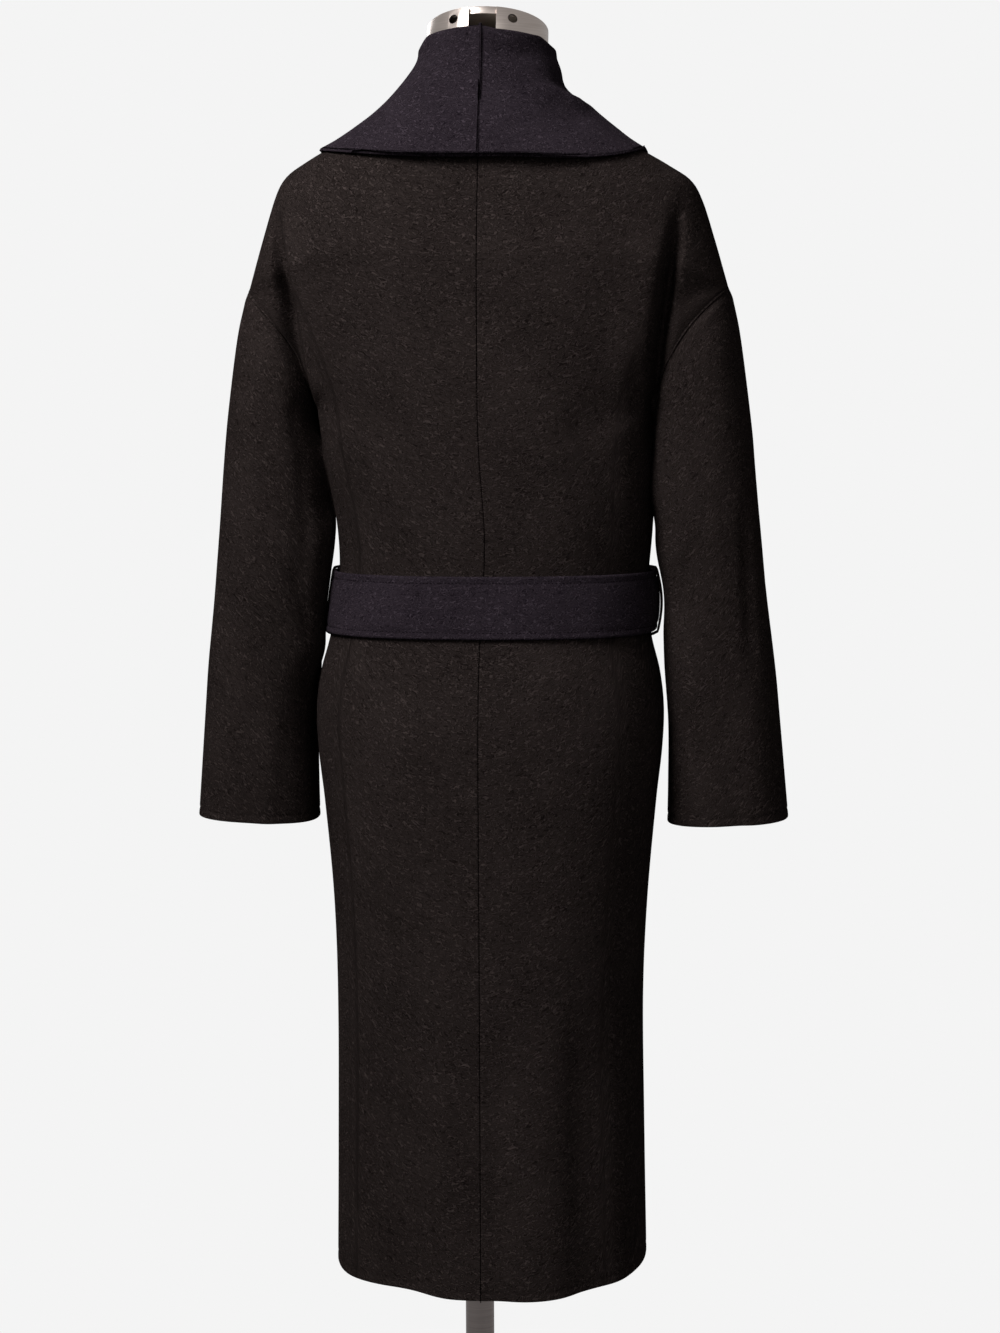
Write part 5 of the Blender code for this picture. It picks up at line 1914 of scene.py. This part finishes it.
    def build(self) -> list[Object]:
        """Make and dress the whole belt.

        Returns:
            The pieces.
        """
        band = self.build_band()
        made = [band, *self.build_carriers(), self.build_knot()]
        made += [self.build_tail(tail) for tail in self.tails]
        stitches = self.edge_stitches.sew("belt_stitches", self.paths, COLLAR_THREAD_AND_SEAM_SHADOW, "felted_wool")
        return [*made, stitches]


class FormRow(NamedTuple):
    """One ring of the dress form; a side height of None lies under the coat's shoulder seam."""

    x: float
    z_side: float | None
    y_back: float
    z_back: float
    y_front: float
    z_front: float
    square: float


@dataclass
class DressForm:
    """Smooth limbless torso under the coat, covered in jersey."""

    body: CoatBody
    shoulder_drop: float = 0.0030  # the form's shoulder lies this far under the coat's outside
    neck_rows: int = 4  # rings of the neck, which are cut on the slant
    lines: int = 150
    places: int = 96
    rows: tuple[FormRow, ...] = (
        FormRow(0.0555, 1.480, 0.0537, 1.4975, 0.0537, 1.4625, 2.0),
        FormRow(0.0552, 1.466, 0.0560, 1.4780, 0.0525, 1.4520, 2.0),
        FormRow(0.0558, 1.453, 0.0600, 1.4580, 0.0510, 1.4380, 2.0),
        FormRow(0.0590, 1.441, 0.0650, 1.4380, 0.0460, 1.4120, 2.0),
        FormRow(0.0760, None, 0.0760, 1.4120, 0.0470, 1.3740, 2.1),
        FormRow(0.1080, None, 0.0870, 1.3880, 0.0600, 1.3500, 2.2),
        FormRow(0.1400, None, 0.0940, 1.3660, 0.0730, 1.3280, 2.3),
        FormRow(0.1640, None, 0.0990, 1.3450, 0.0870, 1.3150, 2.3),
        FormRow(0.1790, 1.3640, 0.1030, 1.3250, 0.0920, 1.2950, 2.3),
        FormRow(0.1830, 1.3450, 0.1060, 1.3020, 0.0960, 1.2750, 2.3),
        FormRow(0.1770, 1.3050, 0.1085, 1.2700, 0.0985, 1.2500, 2.3),
        FormRow(0.1660, 1.2500, 0.1100, 1.2350, 0.1000, 1.2200, 2.3),
        FormRow(0.1540, 1.1900, 0.1095, 1.1900, 0.1015, 1.1850, 2.3),
        FormRow(0.1450, 1.1300, 0.1060, 1.1300, 0.0995, 1.1300, 2.3),
        FormRow(0.1340, 1.0700, 0.1000, 1.0700, 0.0930, 1.0700, 2.3),
        FormRow(0.1200, 0.9950, 0.0900, 0.9950, 0.0860, 0.9950, 2.3),
        FormRow(0.1220, 0.9500, 0.0900, 0.9500, 0.0860, 0.9500, 2.3),
        FormRow(0.1390, 0.8950, 0.1030, 0.8950, 0.0950, 0.8950, 2.3),
        FormRow(0.1510, 0.8400, 0.1150, 0.8400, 0.1030, 0.8400, 2.3),
        FormRow(0.1480, 0.7900, 0.1150, 0.7900, 0.1030, 0.7900, 2.3),
        FormRow(0.1350, 0.7520, 0.1030, 0.7520, 0.0930, 0.7520, 2.2),
        FormRow(0.1180, 0.7440, 0.0880, 0.7440, 0.0790, 0.7440, 2.2),
    )

    def side_heights(self) -> list[float]:
        """Work out the shoulder's rings from the coat's seam.

        Returns:
            Side height of each ring.
        """
        neck, shoulder = BODY_ROWS[0], BODY_ROWS[3]
        slope = (shoulder.z_out - neck.z_out) / (shoulder.x_out - neck.x_out)
        return [neck.z_out + slope * (row.x - neck.x_out) - self.shoulder_drop
                if row.z_side is None else row.z_side for row in self.rows]

    def build(self) -> Object:
        """Make and dress the torso.

        Returns:
            The piece.
        """
        at = np.linspace(0, len(self.rows) - 1, self.lines)[:, None]
        turn = all_round(self.places)[None, ::-1]

        def read(name: str) -> Array:
            """One column of the rings' table."""
            return smooth([getattr(row, name) for row in self.rows], at)

        back, square = np.cos(turn) >= 0, read("square")
        x = read("x") * rounded(math.pi / 2 - turn, square)
        y = np.where(back, read("y_back"), read("y_front")) * rounded(turn, square)
        slant = 1 + ease(at - (self.neck_rows - 1))
        z_side = smooth(self.side_heights(), at)
        z_mid = np.where(back, read("z_back"), read("z_front"))
        level = np.abs(np.cos(turn))**slant
        seam_x = [row.x_out for row in BODY_ROWS[:DROP]]
        on_seam = [row.z_side is None for row in self.rows]
        rows = np.interp([row.x for row in self.rows], seam_x, range(DROP))
        low = smooth(self.body.shoulder_low(rows, -1) * on_seam, at) * (np.sin(turn) < 0)
        mesh = solid_mesh("form_torso", points(x, y, mix(z_side - low, z_mid, level)))
        mesh.set_sharp_from_angle(angle=math.radians(50))
        return add_piece("form_torso_cover", mesh, FORM_JERSEY, ["form_torso"])


def cylinder(radius: float, bottom: float, top: float, sides: int) -> BMesh:
    """A closed upright cylinder.

    Args:
        radius: Its radius.
        bottom: Height of its foot.
        top: Height of its top.
        sides: Number of sides.

    Returns:
        The shape, to be turned into a mesh.
    """
    shape = bmesh.new()
    place = Matrix.Translation((0, 0, (bottom + top) / 2))
    bmesh.ops.create_cone(shape, cap_ends=True, segments=sides, radius1=radius, radius2=radius,
                          depth=top - bottom, matrix=place)
    return shape


def finished(shape: BMesh, name: str, edge: float,
             cutters: Sequence[BMesh] = (),
             place: Matrix = Matrix.Identity(4)) -> Mesh:
    """Cut a solid shape and round off its edges.

    Args:
        shape: The shape, which is used up.
        name: Name of the mesh.
        edge: Width of the rounded edges.
        cutters: Shapes to cut out of it, which are used up too.
        place: Where the result goes.

    Returns:
        The finished mesh.
    """
    helpers = []
    for k, each in enumerate((shape, *cutters)):
        mesh = bpy.data.meshes.new(f"{name}_{k}")
        each.to_mesh(mesh)
        each.free()
        helpers.append(placed(mesh.name, mesh))
    for cutter in helpers[1:]:
        cut = helpers[0].modifiers.new("cut", "BOOLEAN")
        cut.operation = "DIFFERENCE"
        cut.object = cutter
    bevel = helpers[0].modifiers.new("edges", "BEVEL")
    bevel.width = edge
    bevel.segments = 3
    bevel.limit_method = "ANGLE"
    bevel.angle_limit = math.radians(40)
    graph = bpy.context.evaluated_depsgraph_get()
    mesh = bpy.data.meshes.new_from_object(helpers[0].evaluated_get(graph))
    for helper in helpers:
        helper.modifiers.clear()
        bpy.data.objects.remove(helper, do_unlink=True)
    mesh.transform(place)
    mesh.shade_smooth()
    mesh.set_sharp_from_angle(angle=math.radians(30))
    return mesh


@dataclass
class NeckCap:
    """Tilted open metal band on the form's neck, and the plate in its top."""

    tilt: float = math.radians(18)
    radius: float = 0.0568
    wall: float = 0.003
    height: float = 0.022
    foot_z: float = 1.4805
    slot: float = 0.0255  # gap at the back of the band
    hole_radius: float = 0.0042
    hole_x: float = 0.0275
    hole_up: float = 0.0125
    hole_from: float = 0.02
    hole_sides: int = 32
    plate_gap: float = 0.0004
    plate_thick: float = 0.0075
    plate_rise: float = 0.0015
    edge: float = 0.0006
    sides: int = 128
    margin: float = 0.005  # cutters reach this far past what they cut

    def build(self) -> list[Object]:
        """Make and dress the band and the plate.

        Returns:
            The pieces.
        """
        place = Matrix.Translation((0, 0, self.foot_z)) @ Matrix.Rotation(self.tilt, 4, "X")
        bore = cylinder(self.radius - self.wall, -self.margin, self.height + self.margin, self.sides)
        slot = bmesh.new()
        size = Matrix.Diagonal((self.slot, self.radius, self.height + 2 * self.margin, 1))
        at_back = Matrix.Translation((0, self.radius, self.height / 2))
        bmesh.ops.create_cube(slot, size=1, matrix=at_back @ size)
        cutters = [bore, slot]
        for side in (1, -1):
            hole = cylinder(self.hole_radius, 0, self.radius, self.hole_sides)
            at_side = Matrix.Translation((side * self.hole_x, self.hole_from, self.hole_up))
            bmesh.ops.transform(hole, verts=hole.verts,
                                matrix=at_side @ Matrix.Rotation(-math.pi / 2, 4, "X"))
            cutters.append(hole)
        band = cylinder(self.radius, 0, self.height, self.sides)
        top = self.height + self.plate_rise
        plate_radius = self.radius - self.wall - self.plate_gap
        plate = cylinder(plate_radius, top - self.plate_thick, top, self.sides)
        made = []
        for name, shape, cuts in (("neck_cap_band", band, cutters), ("neck_cap_plate", plate, ())):
            mesh = finished(shape, name, self.edge, cuts, place)
            made.append(add_piece(f"{name}_metal", mesh, BRUSHED_NICKEL, [name]))
        return made


@dataclass
class Stand:
    """Round steel base with a boss, and the pole that carries the form."""

    base_radius: float = 0.185
    base_thick: float = 0.010
    boss_radius: float = 0.026
    boss_top: float = 0.034
    pole_radius: float = 0.01375
    pole_top: float = 0.7437
    gap: float = 0.0003
    edge: float = 0.0025  # rounding of the base's and the boss's upper edges
    foot_edge: float = 0.0006
    pole_edge: float = 0.0008
    sides: int = 128
    pole_sides: int = 64
    sharp: float = math.radians(35)

    def base_profile(self) -> list[Pair]:
        """Radius and height of the base's outline, from the boss's top to the underside.

        Returns:
            The outline's points, with arcs at its edges.
        """
        quarter = [math.pi / 2 * k / 6 for k in range(7)]
        outline = []
        for radius, top in ((self.boss_radius, self.boss_top), (self.base_radius, self.base_thick)):
            outline += [(radius - self.edge * (1 - math.sin(a)), top - self.edge * (1 - math.cos(a)))
                        for a in quarter]
            if radius == self.boss_radius:
                outline += [(radius, self.base_thick + self.foot_edge),
                            (radius + self.foot_edge, self.base_thick)]
        outline += [(self.base_radius, self.foot_edge), (self.base_radius - self.foot_edge, 0.0)]
        return outline

    def build(self) -> list[Object]:
        """Make and dress the base and the pole.

        Returns:
            The pieces.
        """
        turn = all_round(self.sides)
        outline = self.base_profile()
        rings = np.array([points(r * np.cos(turn), r * np.sin(turn), z) for r, z in outline])
        base = solid_mesh("stand_base", rings)
        base.set_sharp_from_angle(angle=self.sharp)
        shape = cylinder(self.pole_radius, self.boss_top + self.gap, self.pole_top, self.pole_sides)
        pole = finished(shape, "stand_pole", self.pole_edge)
        return [add_piece(f"{name}_metal", mesh, SATIN_STEEL, [name], shift=0)
                for name, mesh in (("stand_base", base), ("stand_pole", pole))]


class Lamp(NamedTuple):
    """A square soft light: its power in watts, its place and the length of its side."""

    name: str
    power: float
    place: Triple
    size: float


@dataclass
class Studio:
    """Camera at the photograph's angle, soft light and a pale floor."""

    picture: tuple[int, int] = (1000, 1333)
    pixel: float = 0.00095  # one photo pixel at the coat's middle
    aim_z: float = 1.193
    distance: float = 3.0
    azimuth: float = math.radians(185.2)
    pitch: float = math.radians(-5.5)
    roll: float = math.radians(0.28)
    aside_pixels: float = 9.5  # the coat's middle stands this far left of the picture's
    angle: float = math.radians(23.8)
    white: str = "#F4F4F4"
    floor_near: float = 0.30  # the floor takes shadows up to here
    floor_far: float = 0.75  # and melts into the background from here
    floor_size: float = 60.0
    floor_bounce: str = "#707070"
    floor_roughness: float = 0.9
    mirrored: float = 0.5  # share of the paper that shows in metal
    dome: float = 0.08  # light from all round
    lit_z: float = 1.0  # lights are turned to this height
    lamps: tuple[Lamp, ...] = (
        Lamp("key", 54.0, (1.2, 1.6, 2.9), 1.1),
        Lamp("fill", 10.0, (-0.6, 3.0, 2.4), 2.2),
        Lamp("back", 85.0, (0.9, -2.9, 2.6), 2.2),  # lights the side away from the camera
    )

    def camera(self) -> None:
        """Place the camera."""
        data = bpy.data.cameras.new("camera")
        data.lens = data.sensor_width / 2 / math.tan(self.angle / 2)
        data.clip_end = 100
        centre = Vector((COAT_X, 0, self.aim_z))
        level = -Vector((math.sin(self.azimuth), -math.cos(self.azimuth), 0))
        forward = level * math.cos(self.pitch) + Vector((0, 0, math.sin(self.pitch)))
        right = forward.cross(Vector((0, 0, 1))).normalized()
        turn = Matrix((right, right.cross(forward), -forward)).transposed().to_4x4()
        yaw = math.atan2(self.aside_pixels * self.pixel, self.distance)
        camera = placed("camera", data)
        camera.matrix_world = (Matrix.Translation(centre - level * self.distance)
                               @ Matrix.Rotation(-yaw, 4, "Z") @ turn
                               @ Matrix.Rotation(-self.roll, 4, "Z"))
        bpy.context.scene.camera = camera

    def light(self, lamp: Lamp) -> None:
        """Add a light, turned to the coat's middle.

        Args:
            lamp: Which one.
        """
        data = bpy.data.lights.new(lamp.name, "AREA")
        data.energy, data.size = lamp.power, lamp.size
        made = placed(lamp.name, data)
        made.location = lamp.place
        way = Vector((COAT_X, 0, self.lit_z)) - made.location
        made.rotation_euler = way.to_track_quat("-Z", "Y").to_euler()

    def seen(self, tree: NodeTree) -> NodeSocket:
        """Socket that is 1 for what shows, less for what metal mirrors, and 0 for what lights cloth."""
        rays = add_node(tree, "ShaderNodeLightPath").outputs
        return add_node(tree, "ShaderNodeMath", {"operation": "MULTIPLY_ADD", "use_clamp": True}, {
            0: rays["Is Glossy Ray"], 1: self.mirrored, 2: rays["Is Camera Ray"]}).outputs[0]

    def floor(self) -> None:
        """Lay a pale floor that takes shadows near the stand and melts into the background."""
        shape = bmesh.new()
        bmesh.ops.create_grid(shape, x_segments=1, y_segments=1, size=self.floor_size / 2)
        mesh = bpy.data.meshes.new("floor")
        shape.to_mesh(mesh)
        shape.free()
        made, tree, shader = new_material("pale_floor")
        place = add_node(tree, "ShaderNodeTexCoord").outputs["Object"]
        far = add_node(tree, "ShaderNodeVectorMath", {"operation": "LENGTH"}, {0: place})
        share = add_node(tree, "ShaderNodeMapRange", {"interpolation_type": "SMOOTHSTEP"}, {
            "Value": far.outputs["Value"], "From Min": self.floor_near,
            "From Max": self.floor_far}).outputs["Result"]
        fill(tree, shader, {"Base Color": linear(self.white), "Roughness": self.floor_roughness,
                            "Specular IOR Level": 0.0})
        glow = add_node(tree, "ShaderNodeEmission", {}, {"Color": linear(self.white)})
        both = add_node(tree, "ShaderNodeMixShader", {}, {
            0: share, 1: shader.outputs[0], 2: glow.outputs[0]})
        dull = add_node(tree, "ShaderNodeBsdfDiffuse", {}, {"Color": linear(self.floor_bounce)})
        floor_shader = add_node(tree, "ShaderNodeMixShader", {}, {
            0: self.seen(tree), 1: dull.outputs[0], 2: both.outputs[0]})
        tree.links.new(floor_shader.outputs[0], tree.nodes["Material Output"].inputs["Surface"])
        mesh.materials.append(made)
        placed("floor", mesh)

    def build(self) -> None:
        """Set up the whole studio."""
        scene = bpy.context.scene
        scene.view_settings.view_transform = "Standard"
        scene.world = bpy.data.worlds.new("studio")
        scene.world.use_nodes = True
        tree = scene.world.node_tree
        paper = tree.nodes["Background"]
        paper.inputs["Color"].default_value = linear(self.white)
        dim = add_node(tree, "ShaderNodeBackground", {}, {"Color": (1, 1, 1, 1), "Strength": self.dome})
        both = add_node(tree, "ShaderNodeMixShader", {}, {
            0: self.seen(tree), 1: dim.outputs[0], 2: paper.outputs[0]})
        tree.links.new(both.outputs[0], tree.nodes["World Output"].inputs["Surface"])
        self.camera()
        for lamp in self.lamps:
            self.light(lamp)
        self.floor()


@dataclass
class Seams:
    """Dark thread in the armholes, the centre back seam and the collar's nape seam: painted seam shadow.
    """

    sleeves: Sleeves
    collar: Collar
    close: Stitching = Stitching(spacing=0.0030, length=0.0036, radius=0.0005)
    # wider thread for the armholes' dark line: painted shadow
    armhole_shadow_stitching: Stitching = Stitching(spacing=0.0030, length=0.0036, radius=0.0008)
    sink: float = 0.0004  # thread of the straight seams lies this far in
    armhole_sink: float = 0.0006
    back_from: float = 1.6  # row where the back seam comes out from under the collar
    back_points: int = 400

    def build(self) -> list[Object]:
        """Sew all the seams.

        Returns:
            The pieces.
        """
        rings = []
        for half in (1, -1):
            grid = self.sleeves.outside(half)
            ring = grid[0] - grid_normals(grid, tube=True)[0] * self.armhole_sink
            rings.append(np.concatenate([ring, ring[:1]]))
        rows = np.linspace(self.back_from, HEM, self.back_points)
        back = sunk(self.sleeves.body.back(rows, np.zeros_like(rows), 1), self.sink)
        top = self.collar.stand_lines + self.collar.roll_lines // 2
        nape = sunk(self.collar.outside(1)[top:-1, -1], self.sink)
        return [self.armhole_shadow_stitching.sew("armhole_stitches", rings, SEAM_SHADOW_THREAD, "wool_crepe"),
                self.close.sew("back_seam_stitches", [back], SEAM_SHADOW_THREAD, "wool_crepe"),
                self.close.sew("collar_seam_stitches", [nape], COLLAR_THREAD_AND_SEAM_SHADOW, "felted_wool")]


def main() -> None:
    """Build the coat, the form and the studio, and log each piece."""
    logging.basicConfig(level=logging.INFO, format="%(name)s %(message)s")
    body = CoatBody()
    sleeves, collar = Sleeves(body), Collar(body)
    for assembly in (BodyPanels(body), sleeves, collar, Belt(body), DressForm(body), NeckCap(), Stand(),
                     Seams(sleeves, collar), Studio()):
        assembly.build()


if __name__ == "__main__":
    main()
